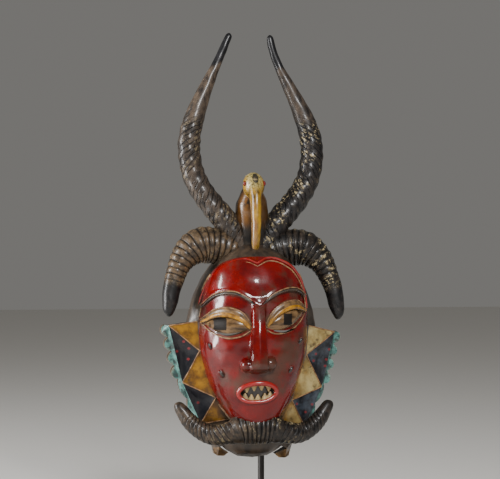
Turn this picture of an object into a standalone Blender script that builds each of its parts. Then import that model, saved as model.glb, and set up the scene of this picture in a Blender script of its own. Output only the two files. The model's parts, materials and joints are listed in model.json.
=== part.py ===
"""A carved and painted face mask with a bird, tall horns, ram's horns and a horned beard, held by its metal stand.

The mask faces -Y, X is to the viewer's right and Z is up. The origin is the middle of the base plate's underside.
The mask is one block of wood, so its forms are joined by Boolean unions and hollowed from behind. Its carving is
measured in hundredths of the mask's height, from the lowest point of the mask and from the plane of the collar.
"""

import math

import bmesh
import bpy
from mathutils import Matrix, Vector

# Driving dimensions of the mask, in metres.
MASK_HEIGHT = 0.508
WALL = 0.012
SLIT_HEIGHT = 0.0032

# Driving dimensions of the stand, in metres.
BASE_WIDTH = 0.170
BASE_DEPTH = 0.150
BASE_THICKNESS = 0.012
BASE_EDGE = 0.0015
ROD_DIAMETER = 0.008
ROD_BEND_RADIUS = 0.012
ROD_ASIDE = 0.018
ROD_BEHIND_MIDDLE = 0.034
SOCKET_DEPTH = 0.008
CHIN_ABOVE_BASE = 0.103
HANGER_LENGTH = 0.056
HANGER_DIAMETER = 0.007
STEADY_LENGTH = 0.064
STEADY_DIAMETER = 0.006
STEADY_HEIGHT = 0.022
PAD_DIAMETER = 0.011
PAD_THICKNESS = 0.003
PAD_INSET = 0.008

# Gaps, in metres: between pieces that touch, and under the hollow's top, whose wall is faceted.
TOUCH_GAP = 0.0003
HOLLOW_GAP = 0.0009

# One hundredth of the mask's height: the unit of every length of the carving below.
U = MASK_HEIGHT / 100

# Where the mask's own frame lies: its lowest point, and the flat back of its rim.
RIM_Y = 6.0
ROD_Y = ROD_BEHIND_MIDDLE
STEADY_Y = ROD_Y - ROD_DIAMETER / 2 - STEADY_DIAMETER / 2 - TOUCH_GAP
PAD_BACK_Y = STEADY_Y - STEADY_DIAMETER / 2 - TOUCH_GAP
MASK_Y = PAD_BACK_Y - PAD_THICKNESS - TOUCH_GAP - RIM_Y * U
MASK_Z = BASE_THICKNESS + CHIN_ABOVE_BASE

# The carver's slant: how far the right side sits above the left, for each unit across.
FACE_SLANT = 0.05
HORN_SLANT = -0.025
COLLAR_SLANT = -0.045
FEATURES_ASIDE = -0.45

# Colours from the photo, as linear red, green and blue.
RED_LACQUER = (0.24, 0.012, 0.010)
BLACK_STEEL = (0.020, 0.018, 0.017)
GREY_FELT = (0.10, 0.10, 0.10)


def clear_scene():
    for old in list(bpy.data.objects):
        bpy.data.objects.remove(old)


def new_material(name, colour, roughness, metallic):
    made = bpy.data.materials.new(name)
    made.use_nodes = True
    shader = made.node_tree.nodes["Principled BSDF"]
    shader.inputs["Base Color"].default_value = (*colour, 1.0)
    shader.inputs["Roughness"].default_value = roughness
    shader.inputs["Metallic"].default_value = metallic
    return made


def new_object(name, bm, made_of=None):
    """Turns a bmesh into an object of the scene."""
    bmesh.ops.recalc_face_normals(bm, faces=bm.faces)
    mesh = bpy.data.meshes.new(name)
    bm.to_mesh(mesh)
    bm.free()
    thing = bpy.data.objects.new(name, mesh)
    bpy.context.scene.collection.objects.link(thing)
    if made_of is not None:
        mesh.materials.append(made_of)
    return thing


def in_world(point, slant=0.0):
    """A point of the mask's own frame, in hundredths of its height, as a place in metres."""
    across, back, up = point
    return Vector((across * U, back * U + MASK_Y, (up + slant * across) * U + MASK_Z))


def place_in_world(bm, slant=0.0):
    for vert in bm.verts:
        vert.co = in_world(vert.co, slant)


def smooth_through(points, steps):
    """Points on a smooth curve through the given ones, steps to each stretch."""
    held = [Vector(point) for point in points]
    held = [2 * held[0] - held[1], *held, 2 * held[-1] - held[-2]]
    found = []
    for before, start, end, after in zip(held, held[1:], held[2:], held[3:]):
        for step in range(steps):
            t = step / steps
            bend = 2 * before - 5 * start + 4 * end - after
            twist = 3 * (start - end) + after - before
            found.append(start + 0.5 * t * ((end - before) + t * (bend + t * twist)))
    return [*found, held[-2]]


def value_at(points, place):
    """The height of a smooth curve through (place, height) points, at one place."""
    low, high = points[0][0], points[-1][0]
    place = min(max(place, low), high)
    near = max(i for i, point in enumerate(points[:-1]) if point[0] <= place)
    start, end = points[near], points[near + 1]
    before = points[near - 1] if near > 0 else start
    after = points[near + 2] if near + 2 < len(points) else end
    span = end[0] - start[0]
    t = (place - start[0]) / span
    slope_in = (end[1] - before[1]) / (end[0] - before[0]) * span
    slope_out = (after[1] - start[1]) / (after[0] - start[0]) * span
    return (
        (2 * t**3 - 3 * t**2 + 1) * start[1]
        + (t**3 - 2 * t**2 + t) * slope_in
        + (3 * t**2 - 2 * t**3) * end[1]
        + (t**3 - t**2) * slope_out
    )


def sweep(path, sides, relief=None, flat=1.0, first_side=(0, 0, 1)):
    """A bmesh bar along path, whose points are (x, y, z, radius). relief(share, angle) scales the radius,
    and flat scales it along the first side's direction."""
    bm = bmesh.new()
    ring = bmesh.ops.create_circle(bm, cap_ends=True, segments=sides, radius=1)["verts"]
    normal = Vector(first_side)
    for i, point in enumerate(path):
        ahead = Vector(path[min(i + 1, len(path) - 1)][:3]) - Vector(path[max(i - 1, 0)][:3])
        tangent = ahead.normalized()
        normal = (normal - normal.dot(tangent) * tangent).normalized()
        across = tangent.cross(normal)
        if i > 0:
            edges = [edge for edge in bm.edges if edge.verts[0] in ring and edge.verts[1] in ring]
            grown = set(bmesh.ops.extrude_edge_only(bm, edges=edges)["geom"])
            ring = [next(e.other_vert(v) for e in v.link_edges if e.other_vert(v) in grown) for v in ring]
        for j, vert in enumerate(ring):
            angle = math.tau * j / sides
            swell = relief(i / (len(path) - 1), angle) if relief else 1.0
            offset = flat * math.cos(angle) * normal + math.sin(angle) * across
            vert.co = Vector(path[i][:3]) + point[3] * swell * offset
    bm.faces.new(ring)
    return bm


# The head is a stack of level sections. Each half of a section, before and behind its widest line, is an arc.

HEAD_LOW, HEAD_MIDDLE, HEAD_HIGH, HEAD_HALF_WIDTH = 0.0, 30.0, 50.5, 15.3
FACE_LOW, FACE_MIDDLE, FACE_HIGH, FACE_HALF_WIDTH = 6.0, 31.0, 47.3, 13.05
HEAD_FRONT = (
    (0, 0),
    (1.5, -3.2),
    (4, -4.4),
    (8, -3.6),
    (20, -2.6),
    (30, -3.2),
    (37, -6.8),
    (44, -9.6),
    (48, -7),
    (50.5, -1.5),
)
HEAD_SIDE = ((0, 0.0), (6, 1.0), (30, 1.2), (44, 0.6), (50.5, 0))
FACE_FRONT = (
    (6, -6.0),
    (8, -8.4),
    (10.5, -9.9),
    (15.3, -11.0),
    (22, -11.8),
    (33, -12.5),
    (37, -13.0),
    (41, -12.8),
    (44, -11.6),
    (46.3, -9.9),
    (47.3, -8.5),
)
FACE_SIDE = ((6, -6.0), (10, -3.6), (14.5, -1.6), (20, -0.6), (30, 0), (37, -0.6), (42, -3), (45, -5.8), (47.3, -8.5))


def egg_width(height, low, middle, high, blunt_top, blunt_bottom):
    """The share of the full width at a height, on an egg whose ends have their own bluntness."""
    if height > middle:
        power, root = blunt_top
        share = (height - middle) / (high - middle)
    else:
        power, root = blunt_bottom
        share = (middle - height) / (middle - low)
    return max(0.0, 1 - min(share, 1.0) ** power) ** (1 / root)


def face_half_width(height):
    return FACE_HALF_WIDTH * egg_width(height, FACE_LOW, FACE_MIDDLE, FACE_HIGH, (2.3, 3.0), (1.9, 1.65))


def head_half_width(height):
    return HEAD_HALF_WIDTH * egg_width(height, HEAD_LOW, HEAD_MIDDLE, HEAD_HIGH, (1.6, 2.0), (2.0, 2.3))


def stack_of_sections(low, high, half_width, front, side, rings, segments, flare=0.0):
    """A round closed form whose section at each height has its own width, front and widest line."""
    bm = bmesh.new()
    bmesh.ops.create_uvsphere(bm, u_segments=segments, v_segments=rings, radius=1)
    for vert in bm.verts:
        turn = math.atan2(vert.co.x, -vert.co.y)
        level = math.asin(max(-1.0, min(1.0, vert.co.z)))
        height = (low + high) / 2 + (high - low) / 2 * math.sin(level)
        wide = half_width(height) if abs(vert.co.z) < 0.9999 else 0.0
        line = value_at(side, height)
        if math.cos(turn) > 0:
            across = wide * math.sin(turn)
            back = line + (value_at(front, height) - line) * math.cos(turn)
        else:
            steep = math.copysign(abs(math.sin(turn)) ** 0.35, math.sin(turn))
            across = wide * steep * (1 + flare * abs(math.cos(turn)) ** 0.5)
            back = line + (2 * RIM_Y - line) * abs(math.cos(turn)) ** 0.7
        if wide == 0.0:
            across, back = 0.0, line
        vert.co = (across, back, height)
    return bm


def cut_flat_behind(bm, back):
    """Cuts the form off on the plane of the rim and closes it there."""
    everything = [*bm.verts, *bm.edges, *bm.faces]
    plane = {"plane_co": (0, back, 0), "plane_no": (0, 1, 0)}
    cut = bmesh.ops.bisect_plane(bm, geom=everything, clear_outer=True, **plane)
    rim = [part for part in cut["geom_cut"] if isinstance(part, bmesh.types.BMEdge)]
    bmesh.ops.holes_fill(bm, edges=rim, sides=0)


def head_form():
    bm = stack_of_sections(HEAD_LOW, HEAD_HIGH, head_half_width, HEAD_FRONT, HEAD_SIDE, rings=18, segments=28)
    cut_flat_behind(bm, RIM_Y)
    place_in_world(bm)
    return bm


def face_form():
    bm = stack_of_sections(FACE_LOW, FACE_HIGH, face_half_width, FACE_FRONT, FACE_SIDE, rings=20, segments=32)
    cut_flat_behind(bm, RIM_Y - 1)
    place_in_world(bm)
    return bm


# The hollow keeps the wall's thickness from the face before it and from the head round it.

WALL_SHARE = WALL / U
HOLLOW_LOW = HEAD_LOW + WALL_SHARE + 2.4
HOLLOW_HIGH = FACE_HIGH - WALL_SHARE - 0.6
HOLLOW_HALF_WIDTH = FACE_HALF_WIDTH - WALL_SHARE
HOLLOW_FLARE = (HEAD_HALF_WIDTH - WALL_SHARE) / HOLLOW_HALF_WIDTH - 1
HOLLOW_MIDDLE = 28.0
HOLLOW_SIDE = ((0, 1.0), (50, 1.0))


def hollow_front(height):
    """How far forward the hollow reaches at a height: the wall's thickness behind the face or the head."""
    front = value_at(HEAD_FRONT, height)
    if height > FACE_LOW:
        front = min(front, value_at(FACE_FRONT, height))
    return min(front + 1.15 * WALL_SHARE, 0.0)


def hollow_half_width(height):
    return HOLLOW_HALF_WIDTH * egg_width(height, HOLLOW_LOW, HOLLOW_MIDDLE, HOLLOW_HIGH, (2, 2), (2, 2))


def hollow_form():
    steps = 12
    heights = [HOLLOW_LOW + (HOLLOW_HIGH - HOLLOW_LOW) * i / steps for i in range(steps + 1)]
    front = [(height, hollow_front(height)) for height in heights]
    bm = stack_of_sections(
        HOLLOW_LOW, HOLLOW_HIGH, hollow_half_width, front, HOLLOW_SIDE, rings=12, segments=18, flare=HOLLOW_FLARE
    )
    place_in_world(bm)
    return bm


def on_face(across, height, proud=0.0):
    """A point on the face's front, or standing proud of it. The features sit a little to one side."""
    across += FEATURES_ASIDE
    wide = face_half_width(height)
    line = value_at(FACE_SIDE, height)
    share = min(abs(across) / wide, 0.995)
    depth = (line - value_at(FACE_FRONT, height)) * math.sqrt(1 - share * share)
    outward = Vector((share / wide * math.copysign(1, across), -math.sqrt(1 - share * share) / max(depth, 1), 0))
    return Vector((across, line - depth, height)) + proud * outward.normalized()


def bead_on_face(points, radius, sides, steps, sink=0.35, taper=True):
    """A raised line on the face through (across, height) points, thinner towards its ends."""
    line = smooth_through([(across, height, 0) for across, height in points], steps)
    last = len(line) - 1
    path = []
    for i, (across, height, _) in enumerate(line):
        thick = radius * (0.35 + 0.65 * math.sin(math.pi * i / last)) if taper else radius
        path.append((*on_face(across, height, -sink * radius), thick))
    bm = sweep(path, sides, first_side=(0, 1, 0))
    place_in_world(bm, FACE_SLANT)
    return bm


# The face's features, as (across, height) on its right half. The left half mirrors them.

BROW = ((-0.2, 36.4), (2.2, 37.9), (5.0, 39.5), (7.9, 39.7), (10.2, 38.7), (12.4, 36.2))
BROW_RADIUS = 0.62
EYE_CENTRE, EYE_HEIGHT, EYE_TILT = 6.7, 31.7, 0.10
EYE_HALF_WIDTH, EYE_HALF_HEIGHT, EYE_BULGE = 5.3, 2.1, 1.5
LID = ((1.7, 31.0), (3.4, 33.4), (6.2, 34.9), (9.3, 34.6), (12.0, 32.4))
LID_RADIUS = 0.68
LOWER_LID = ((1.7, 30.5), (4.0, 29.3), (7.0, 29.1), (9.9, 30.2), (12.0, 32.0))
LOWER_LID_RADIUS = 0.34
HAIRLINE = ((-0.15, 45.5), (2.6, 46.7), (5.2, 46.4), (8.2, 44.7), (10.5, 42.0), (12.3, 38.2))
HAIRLINE_RADIUS = 0.42
SLIT = ((3.6, 30.2), (6.6, 29.75), (9.2, 30.35))
LIP_HALF_WIDTH, LIP_HALF_HEIGHT, LIP_HEIGHT, LIP_RADIUS = 4.2, 2.2, 16.2, 0.5
CHEEK_MARKS = ((10.4, 27.2), (7.9, 20.8))
CHEEK_MARK_SIZE = (0.42, 0.5, 0.75)


def mirrored(points, side):
    return [(side * point[0], *point[1:]) for point in points]


def eye_form(side):
    """The bulging almond of an eye."""
    bm = bmesh.new()
    bmesh.ops.create_uvsphere(bm, u_segments=14, v_segments=6, radius=1)
    for vert in bm.verts:
        along, out, up = vert.co
        pinch = 1 - 0.45 * along * along
        across = side * (EYE_CENTRE + EYE_HALF_WIDTH * along)
        height = EYE_HEIGHT + EYE_HALF_HEIGHT * pinch * up + EYE_TILT * EYE_HALF_WIDTH * along
        vert.co = on_face(across, height, -EYE_BULGE * pinch * out - 0.7)
    place_in_world(bm, FACE_SLANT)
    return bm


NOSE_TOP, NOSE_TIP, NOSE_UNDER = 36.9, 24.3, 23.3
NOSTRIL_HEIGHT = 22.9
NOSE_BRIDGE_HALF_WIDTH, NOSE_BASE_HALF_WIDTH = 1.35, 2.1
NOSE_LIFT_TOP, NOSE_LIFT_TIP = 0.5, 4.4
NOSTRIL_ASIDE, NOSTRIL_SIZE = 2.2, (1.8, 2.6, 1.5)


def nose_form():
    """The long straight ridge of the nose, from the brow to its tip."""
    path = []
    steps = 6
    for i in range(steps + 1):
        share = i / steps
        height = NOSE_TOP + (NOSE_TIP - NOSE_TOP) * share
        wide = NOSE_BRIDGE_HALF_WIDTH + (NOSE_BASE_HALF_WIDTH - NOSE_BRIDGE_HALF_WIDTH) * share**2
        lift = NOSE_LIFT_TOP + (NOSE_LIFT_TIP - NOSE_LIFT_TOP) * share**1.2
        path.append((*on_face(0, height, lift - 1.25 * wide), wide))
    path.append((*on_face(0, NOSE_UNDER, 0.4 * NOSE_LIFT_TIP - NOSE_BASE_HALF_WIDTH), NOSE_BASE_HALF_WIDTH))
    bm = sweep(path, 8, flat=1.25, first_side=(0, -1, 0))
    place_in_world(bm, FACE_SLANT)
    return bm


def ellipsoid(centre, radii, segments=12, rings=8, slant=0.0, turn=0.0):
    bm = bmesh.new()
    bmesh.ops.create_uvsphere(bm, u_segments=segments, v_segments=rings, radius=1)
    bmesh.ops.scale(bm, vec=radii, verts=bm.verts)
    bmesh.ops.rotate(bm, matrix=Matrix.Rotation(turn, 3, "Y"), verts=bm.verts)
    bmesh.ops.translate(bm, vec=centre, verts=bm.verts)
    place_in_world(bm, slant)
    return bm


def nostril_form(side):
    centre = on_face(side * NOSTRIL_ASIDE, NOSTRIL_HEIGHT, 0.9)
    return ellipsoid(centre, NOSTRIL_SIZE, segments=8, rings=6, slant=FACE_SLANT)


def lip_form():
    """The raised oval of the lips."""
    bm = bmesh.new()
    around, sides = 24, 5
    for i in range(around):
        turn = math.tau * i / around
        ring = []
        for j in range(sides):
            angle = math.tau * j / sides
            reach = LIP_RADIUS * math.cos(angle)
            across = (LIP_HALF_WIDTH + reach) * math.cos(turn)
            height = LIP_HEIGHT + (LIP_HALF_HEIGHT + reach) * math.sin(turn)
            ring.append(bm.verts.new(on_face(across, height, LIP_RADIUS * (0.35 + 1.5 * math.sin(angle)))))
        bm.edges.ensure_lookup_table()
        for j in range(sides):
            bm.edges.new((ring[j], ring[(j + 1) % sides]))
    rings = [bm.edges[i * sides : (i + 1) * sides] for i in range(around)]
    for i in range(around):
        bmesh.ops.bridge_loops(bm, edges=[*rings[i], *rings[(i + 1) % around]])
        bm.edges.ensure_lookup_table()
    place_in_world(bm, FACE_SLANT)
    return bm


def mouth_recess():
    """The cutter that sinks the mouth inside the lips."""
    centre = on_face(0, LIP_HEIGHT, 0.5)
    wide = LIP_HALF_WIDTH - 0.25
    tall = LIP_HALF_HEIGHT - 0.25
    return ellipsoid(centre, (wide, 2.3, tall), segments=18, rings=6, slant=FACE_SLANT)


TEETH_ACROSS = (-2.4, -0.8, 0.8, 2.4)
TOOTH_HALF_WIDTH = 0.72
TOOTH_LENGTH = 1.55
TOOTH_ROOT = 0.5
TOOTH_SUNK = 0.75
TOOTH_DEPTH = 1.0


def tooth_form(across, upper):
    """A pointed tooth: a three-sided wedge with its root in the lip."""
    bm = bmesh.new()
    way = 1 if upper else -1
    tall = LIP_HALF_HEIGHT * math.sqrt(1 - (across / LIP_HALF_WIDTH) ** 2)
    root = LIP_HEIGHT + way * (tall + TOOTH_ROOT - 0.3)
    point = LIP_HEIGHT + way * (tall - TOOTH_LENGTH * (tall / LIP_HALF_HEIGHT))
    corners = (
        (across - TOOTH_HALF_WIDTH, root, 0.0),
        (across + TOOTH_HALF_WIDTH, root, 0.0),
        (across, point, 0.0),
        (across, root, 0.45),
    )
    back = [bm.verts.new(on_face(a, h, lift - TOOTH_SUNK)) for a, h, lift in corners[:3]]
    deep = [bm.verts.new(vert.co + Vector((0, TOOTH_DEPTH, 0))) for vert in back]
    ridge = bm.verts.new(on_face(corners[3][0], corners[3][1], corners[3][2] - TOOTH_SUNK))
    bm.faces.new(deep)
    bm.faces.new((back[0], back[2], ridge))
    bm.faces.new((back[2], back[1], ridge))
    bm.faces.new((back[1], back[0], ridge))
    for i in range(3):
        j = (i + 1) % 3
        bm.faces.new((back[i], back[j], deep[j], deep[i]))
    place_in_world(bm, FACE_SLANT)
    return bm


def cheek_mark(side, across, height):
    centre = on_face(side * across, height, 0.15)
    bm = bmesh.new()
    bmesh.ops.create_icosphere(bm, subdivisions=1, radius=1)
    bmesh.ops.scale(bm, vec=CHEEK_MARK_SIZE, verts=bm.verts)
    bmesh.ops.rotate(bm, matrix=Matrix.Rotation(side * 0.6, 3, "Y"), verts=bm.verts)
    bmesh.ops.translate(bm, vec=centre, verts=bm.verts)
    place_in_world(bm, FACE_SLANT)
    return bm


def slit_cutter(side):
    """The narrow slit under an eye, cut right through the wall so that the wearer can see."""
    half = SLIT_HEIGHT / U / 2
    line = smooth_through([(*point, 0) for point in mirrored(SLIT, side)], 4)
    bm = bmesh.new()
    near, far = [], []
    for i, (across, height, _) in enumerate(line):
        share = i / (len(line) - 1)
        open_by = half * (0.35 + 0.65 * math.sin(math.pi * share))
        for row, lift in ((near, 2.5), (far, -3.2 * WALL_SHARE)):
            place = on_face(across, height, 0.0) + Vector((0, -lift, 0))
            up = Vector((0, 0, open_by))
            row.append((bm.verts.new(place + up), bm.verts.new(place - up)))
    for i in range(len(line) - 1):
        (a, b), (c, d) = near[i], near[i + 1]
        (e, f), (g, h) = far[i], far[i + 1]
        bm.faces.new((a, b, d, c))
        bm.faces.new((e, g, h, f))
        bm.faces.new((a, c, g, e))
        bm.faces.new((b, f, h, d))
    for (a, b), (e, f) in ((near[0], far[0]), (near[-1], far[-1])):
        bm.faces.new((a, e, f, b))
    place_in_world(bm, FACE_SLANT)
    return bm


# The horns, as (across, back, up, radius) on the right side, from root to tip.

TALL_HORN = (
    (2.2, 1.0, 48.5, 3.1),
    (6.0, 1.0, 55.0, 3.05),
    (9.2, 1.2, 58.9, 2.95),
    (11.9, 1.5, 62.5, 2.85),
    (13.7, 1.8, 66.3, 2.75),
    (14.6, 2.0, 70.8, 2.7),
    (14.4, 2.3, 75.2, 2.6),
    (13.1, 2.7, 80.3, 2.3),
    (10.9, 3.1, 85.9, 1.7),
    (8.3, 3.5, 91.7, 1.12),
    (6.3, 3.8, 96.2, 0.92),
    (5.1, 4.0, 99.0, 0.78),
    (4.85, 4.0, 99.7, 0.5),
    (4.75, 4.0, 99.95, 0.15),
)
TALL_HORN_TURNS = 9
TALL_HORN_CARVED = 0.60
RIGHT_HORN_BEND = ((78.0, 0.0), (85.9, 0.6), (91.7, 1.0), (96.2, 0.75), (99.0, 0.15), (99.95, 0.0))
RAM_HORN = (
    (3.0, 1.5, 47.8, 3.9),
    (7.0, 1.2, 49.2, 4.25),
    (10.8, 0.8, 49.6, 4.45),
    (13.2, 0.3, 49.1, 4.2),
    (15.4, -0.2, 47.5, 3.55),
    (17.1, -0.8, 45.2, 2.85),
    (18.4, -1.5, 42.0, 2.35),
    (19.2, -2.0, 39.3, 2.1),
    (19.7, -2.5, 36.3, 1.85),
    (19.95, -2.8, 34.4, 1.4),
    (20.0, -2.9, 33.3, 0.75),
    (20.0, -3.0, 33.0, 0.25),
)
RAM_HORN_RIBS = 14
RAM_HORN_CARVED = 0.68
BEARD_HORN = (
    (0.0, -6.4, 7.7, 3.85),
    (3.3, -6.4, 7.4, 3.6),
    (5.2, -6.3, 6.8, 2.95),
    (7.3, -6.0, 6.4, 2.65),
    (10.2, -5.2, 6.1, 2.4),
    (13.0, -4.4, 7.2, 2.15),
    (15.3, -3.6, 9.2, 1.95),
    (16.9, -3.1, 11.4, 1.55),
    (17.7, -2.8, 12.6, 1.25),
    (18.05, -2.7, 13.2, 0.8),
    (18.15, -2.65, 13.4, 0.25),
)
BEARD_HORN_TURNS = 9


def spiral_relief(side, turns, depth, start, stop):
    """Grooves that wind round a horn between two shares of its length."""

    def relief(share, angle):
        if not start < share < stop:
            return 1.0
        return 1 - depth * (0.5 + 0.5 * math.cos(math.tau * turns * share / stop + side * angle))

    return relief


def ring_relief(ribs, depth, stop):
    """Ribs that ring a horn up to a share of its length."""

    def relief(share, _):
        return 1 - depth * (0.5 + 0.5 * math.cos(math.tau * ribs * share / stop)) if share < stop else 1.0

    return relief


def tall_horn_line(side):
    """The line of a tall horn. The right one leans in a little over its upper part, as the carver left it."""
    if side < 0:
        return mirrored(TALL_HORN, side)
    return [(a - value_at(RIGHT_HORN_BEND, h), back, h, radius) for a, back, h, radius in TALL_HORN]


def tall_horn(side):
    path = smooth_through(tall_horn_line(side), 3)
    bm = sweep(path, 8, spiral_relief(side, TALL_HORN_TURNS, 0.07, 0.10, TALL_HORN_CARVED))
    place_in_world(bm, HORN_SLANT)
    return bm


def ram_horn(side):
    path = smooth_through(mirrored(RAM_HORN, side), 4)
    bm = sweep(path, 10, ring_relief(RAM_HORN_RIBS, 0.07, RAM_HORN_CARVED))
    place_in_world(bm, HORN_SLANT)
    return bm


def beard_horn(side):
    path = smooth_through(mirrored(BEARD_HORN, side), 3)
    path[0] = Vector((-0.2 * side, *path[0][1:]))
    bm = sweep(path, 8, spiral_relief(side, BEARD_HORN_TURNS, 0.08, 0.25, 0.9))
    place_in_world(bm)
    return bm


# The bird: a neck behind, a small head, and a long beak that hangs down before the horns' roots.

BIRD_NECK = (
    (0, 1.5, 47.5, 4.2),
    (0, 1.3, 54.0, 4.0),
    (0, 0.8, 58.5, 3.8),
    (0, 0.2, 61.5, 3.0),
    (0, -0.4, 63.8, 1.8),
)
BIRD_HEAD_CENTRE, BIRD_HEAD_SIZE = (0, -2.0, 63.7), (2.6, 3.0, 3.3)
BIRD_BEAK = (
    (0, -2.6, 63.8, 1.9),
    (0, -4.8, 60.8, 1.5),
    (0, -5.7, 57.0, 1.3),
    (0, -5.6, 52.6, 1.15),
    (0, -4.9, 49.6, 0.95),
    (0, -4.6, 48.8, 0.55),
)


def bird_forms():
    neck = sweep(smooth_through(BIRD_NECK, 2), 10, first_side=(0, -1, 0))
    place_in_world(neck)
    head = ellipsoid(BIRD_HEAD_CENTRE, BIRD_HEAD_SIZE, segments=12, rings=8)
    beak = sweep(smooth_through(BIRD_BEAK, 2), 6, flat=1.3, first_side=(0, -1, 0))
    place_in_world(beak)
    return [neck, head, beak]


# The collar, as (across, height) on the right side: the roots of its folds beside the face, their outer points, and
# the tab that hangs under each side.

FOLD_ROOTS = ((13.2, 31.5), (12.6, 24.7), (9.0, 14.0), (5.7, 9.2), (3.6, 4.5))
FOLD_POINTS = ((19.7, 30.2), (16.5, 17.1), (12.3, 7.6), (8.0, 2.4))
TAB = ((9.2, 1.9), (8.9, 0.5), (8.1, 0.05), (6.5, 0.05), (5.5, 0.9))
CORNER_REACH = (0.9, 0.1)
CURVED_BELOW = 25.0
ROOT_BENT_BACK, POINT_BENT_BACK = 0.08, 0.05
COLLAR_FRONT_AT_FACE, COLLAR_FRONT_AT_EDGE, COLLAR_BACK = -1.8, -0.2, 3.4
FOLD_HOLLOW = 0.9
FRINGE_FRONT = 0.9
FRINGE_REACHES = (2.0, 1.2, 0.6)
SCALLOPS = (4, 2, 1)


def fringe_outline():
    """The scalloped edge: for each stretch between outer points, tips beyond its line and valleys nearer to it."""
    outline = []
    for start, end, reach, count in zip(FOLD_POINTS, FOLD_POINTS[1:], FRINGE_REACHES, SCALLOPS):
        start, end = Vector(start), Vector(end)
        along = end - start
        out = Vector((-along.y, along.x)).normalized()
        for i in range(count):
            tip = start + along * (i + 0.25) / count + out * reach
            valley = start + along * (i + 0.85) / count + out * 0.35 * reach
            outline.extend((tip, valley))
    return outline


def collar_form(side):
    """One side of the folded collar, with its back inside the head."""
    bm = bmesh.new()

    def corner(place, back):
        return bm.verts.new((side * place[0], back, place[1]))

    def forward(height, share):
        return share * max(0.0, CURVED_BELOW - height)

    buried = [corner((max(0.3, a - 4.0), height + 0.4), COLLAR_FRONT_AT_FACE) for a, height in FOLD_ROOTS]
    roots = [corner((a, h), COLLAR_FRONT_AT_FACE - forward(h, ROOT_BENT_BACK)) for a, h in FOLD_ROOTS]
    points = [corner((a, h), COLLAR_FRONT_AT_EDGE - forward(h, POINT_BENT_BACK)) for a, h in FOLD_POINTS]
    first_corner = (FOLD_POINTS[0][0] + CORNER_REACH[0], FOLD_POINTS[0][1] + CORNER_REACH[1])
    lip = [corner(place, FRINGE_FRONT) for place in (first_corner, *fringe_outline(), *TAB)]
    for i, (start, end) in enumerate(zip(roots, roots[1:])):
        bm.faces.new((start, points[i], end))
        bm.faces.new((buried[i], start, end, buried[i + 1]))
    per_point = [2 * count for count in SCALLOPS]
    first = 1
    for i, (start, end) in enumerate(zip(points, points[1:])):
        middle = (start.co + end.co + roots[i + 1].co) / 3 + Vector((0, FOLD_HOLLOW, 0))
        dish = bm.verts.new(middle)
        bm.faces.new((start, end, dish))
        bm.faces.new((end, roots[i + 1], dish))
        bm.faces.new((roots[i + 1], start, dish))
        last = first + per_point[i]
        stretch = lip[first - 1 : last]
        half = len(stretch) // 2
        bm.faces.new((start, *stretch[: half + 1]))
        bm.faces.new((start, stretch[half], end))
        bm.faces.new((end, *stretch[half:]))
        first = last
    bm.faces.new((points[-1], *lip[-len(TAB) - 1 :]))
    border = [edge for edge in bm.edges if edge.is_boundary]
    skirt = bmesh.ops.extrude_edge_only(bm, edges=border)["geom"]
    for vert in skirt:
        if isinstance(vert, bmesh.types.BMVert):
            vert.co.y = COLLAR_BACK
    behind = [edge for edge in bm.edges if edge.is_boundary]
    bmesh.ops.contextual_create(bm, geom=behind)
    bmesh.ops.triangulate(bm, faces=bm.faces)
    place_in_world(bm, COLLAR_SLANT)
    return bm


def carved_mask(made_of):
    """The whole mask as one solid: every carved form joined, then hollowed, with the eye slits and the mouth cut."""
    forms = {"face": face_form(), "nose": nose_form(), "lips": lip_form()}
    for side, word in ((-1, "left"), (1, "right")):
        forms[f"tall_horn_{word}"] = tall_horn(side)
        forms[f"ram_horn_{word}"] = ram_horn(side)
        forms[f"beard_horn_{word}"] = beard_horn(side)
        forms[f"collar_{word}"] = collar_form(side)
        forms[f"eye_{word}"] = eye_form(side)
        forms[f"nostril_{word}"] = nostril_form(side)
        forms[f"brow_{word}"] = bead_on_face(mirrored(BROW, side), BROW_RADIUS, 6, 2)
        forms[f"lid_{word}"] = bead_on_face(mirrored(LID, side), LID_RADIUS, 6, 2)
        forms[f"lower_lid_{word}"] = bead_on_face(mirrored(LOWER_LID, side), LOWER_LID_RADIUS, 5, 2)
        forms[f"hairline_{word}"] = bead_on_face(mirrored(HAIRLINE, side), HAIRLINE_RADIUS, 5, 2, taper=False)
        for i, (across, height) in enumerate(CHEEK_MARKS):
            forms[f"cheek_mark_{word}_{i}"] = cheek_mark(side, across, height)
    for i, bm in enumerate(bird_forms()):
        forms[f"bird_{i}"] = bm
    mask = new_object("mask", head_form(), made_of)
    join(mask, forms)
    cut(mask, {"hollow": hollow_form(), "mouth": mouth_recess()})
    teeth = {}
    for across in TEETH_ACROSS:
        for upper in (True, False):
            teeth[f"tooth_{across}_{upper}"] = tooth_form(across, upper)
    join(mask, teeth)
    cut(mask, {"slit_left": slit_cutter(-1), "slit_right": slit_cutter(1)})
    return mask


def boolean(thing, operation, forms):
    """Adds one Boolean for each form, which stays in the scene as a hidden helper."""
    for name, bm in forms.items():
        helper = new_object(f"form_{name}", bm)
        helper.hide_render = True
        helper.display_type = "WIRE"
        step = thing.modifiers.new(name, "BOOLEAN")
        step.operation = operation
        step.solver = "EXACT"
        step.object = helper


def join(thing, forms):
    boolean(thing, "UNION", forms)


def cut(thing, forms):
    boolean(thing, "DIFFERENCE", forms)


def hanger_place():
    """The middle of the hanger bar, whose ends bear on the hollow's roof."""
    reach = HANGER_LENGTH / 2 / U
    share = reach / HOLLOW_HALF_WIDTH
    rise = (HOLLOW_HIGH - HOLLOW_MIDDLE) * math.sqrt(1 - share * share)
    back = HOLLOW_SIDE[0][1]
    top = in_world((0, back, HOLLOW_MIDDLE + rise))
    return top - Vector((0, 0, HOLLOW_GAP + HANGER_DIAMETER / 2))


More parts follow.
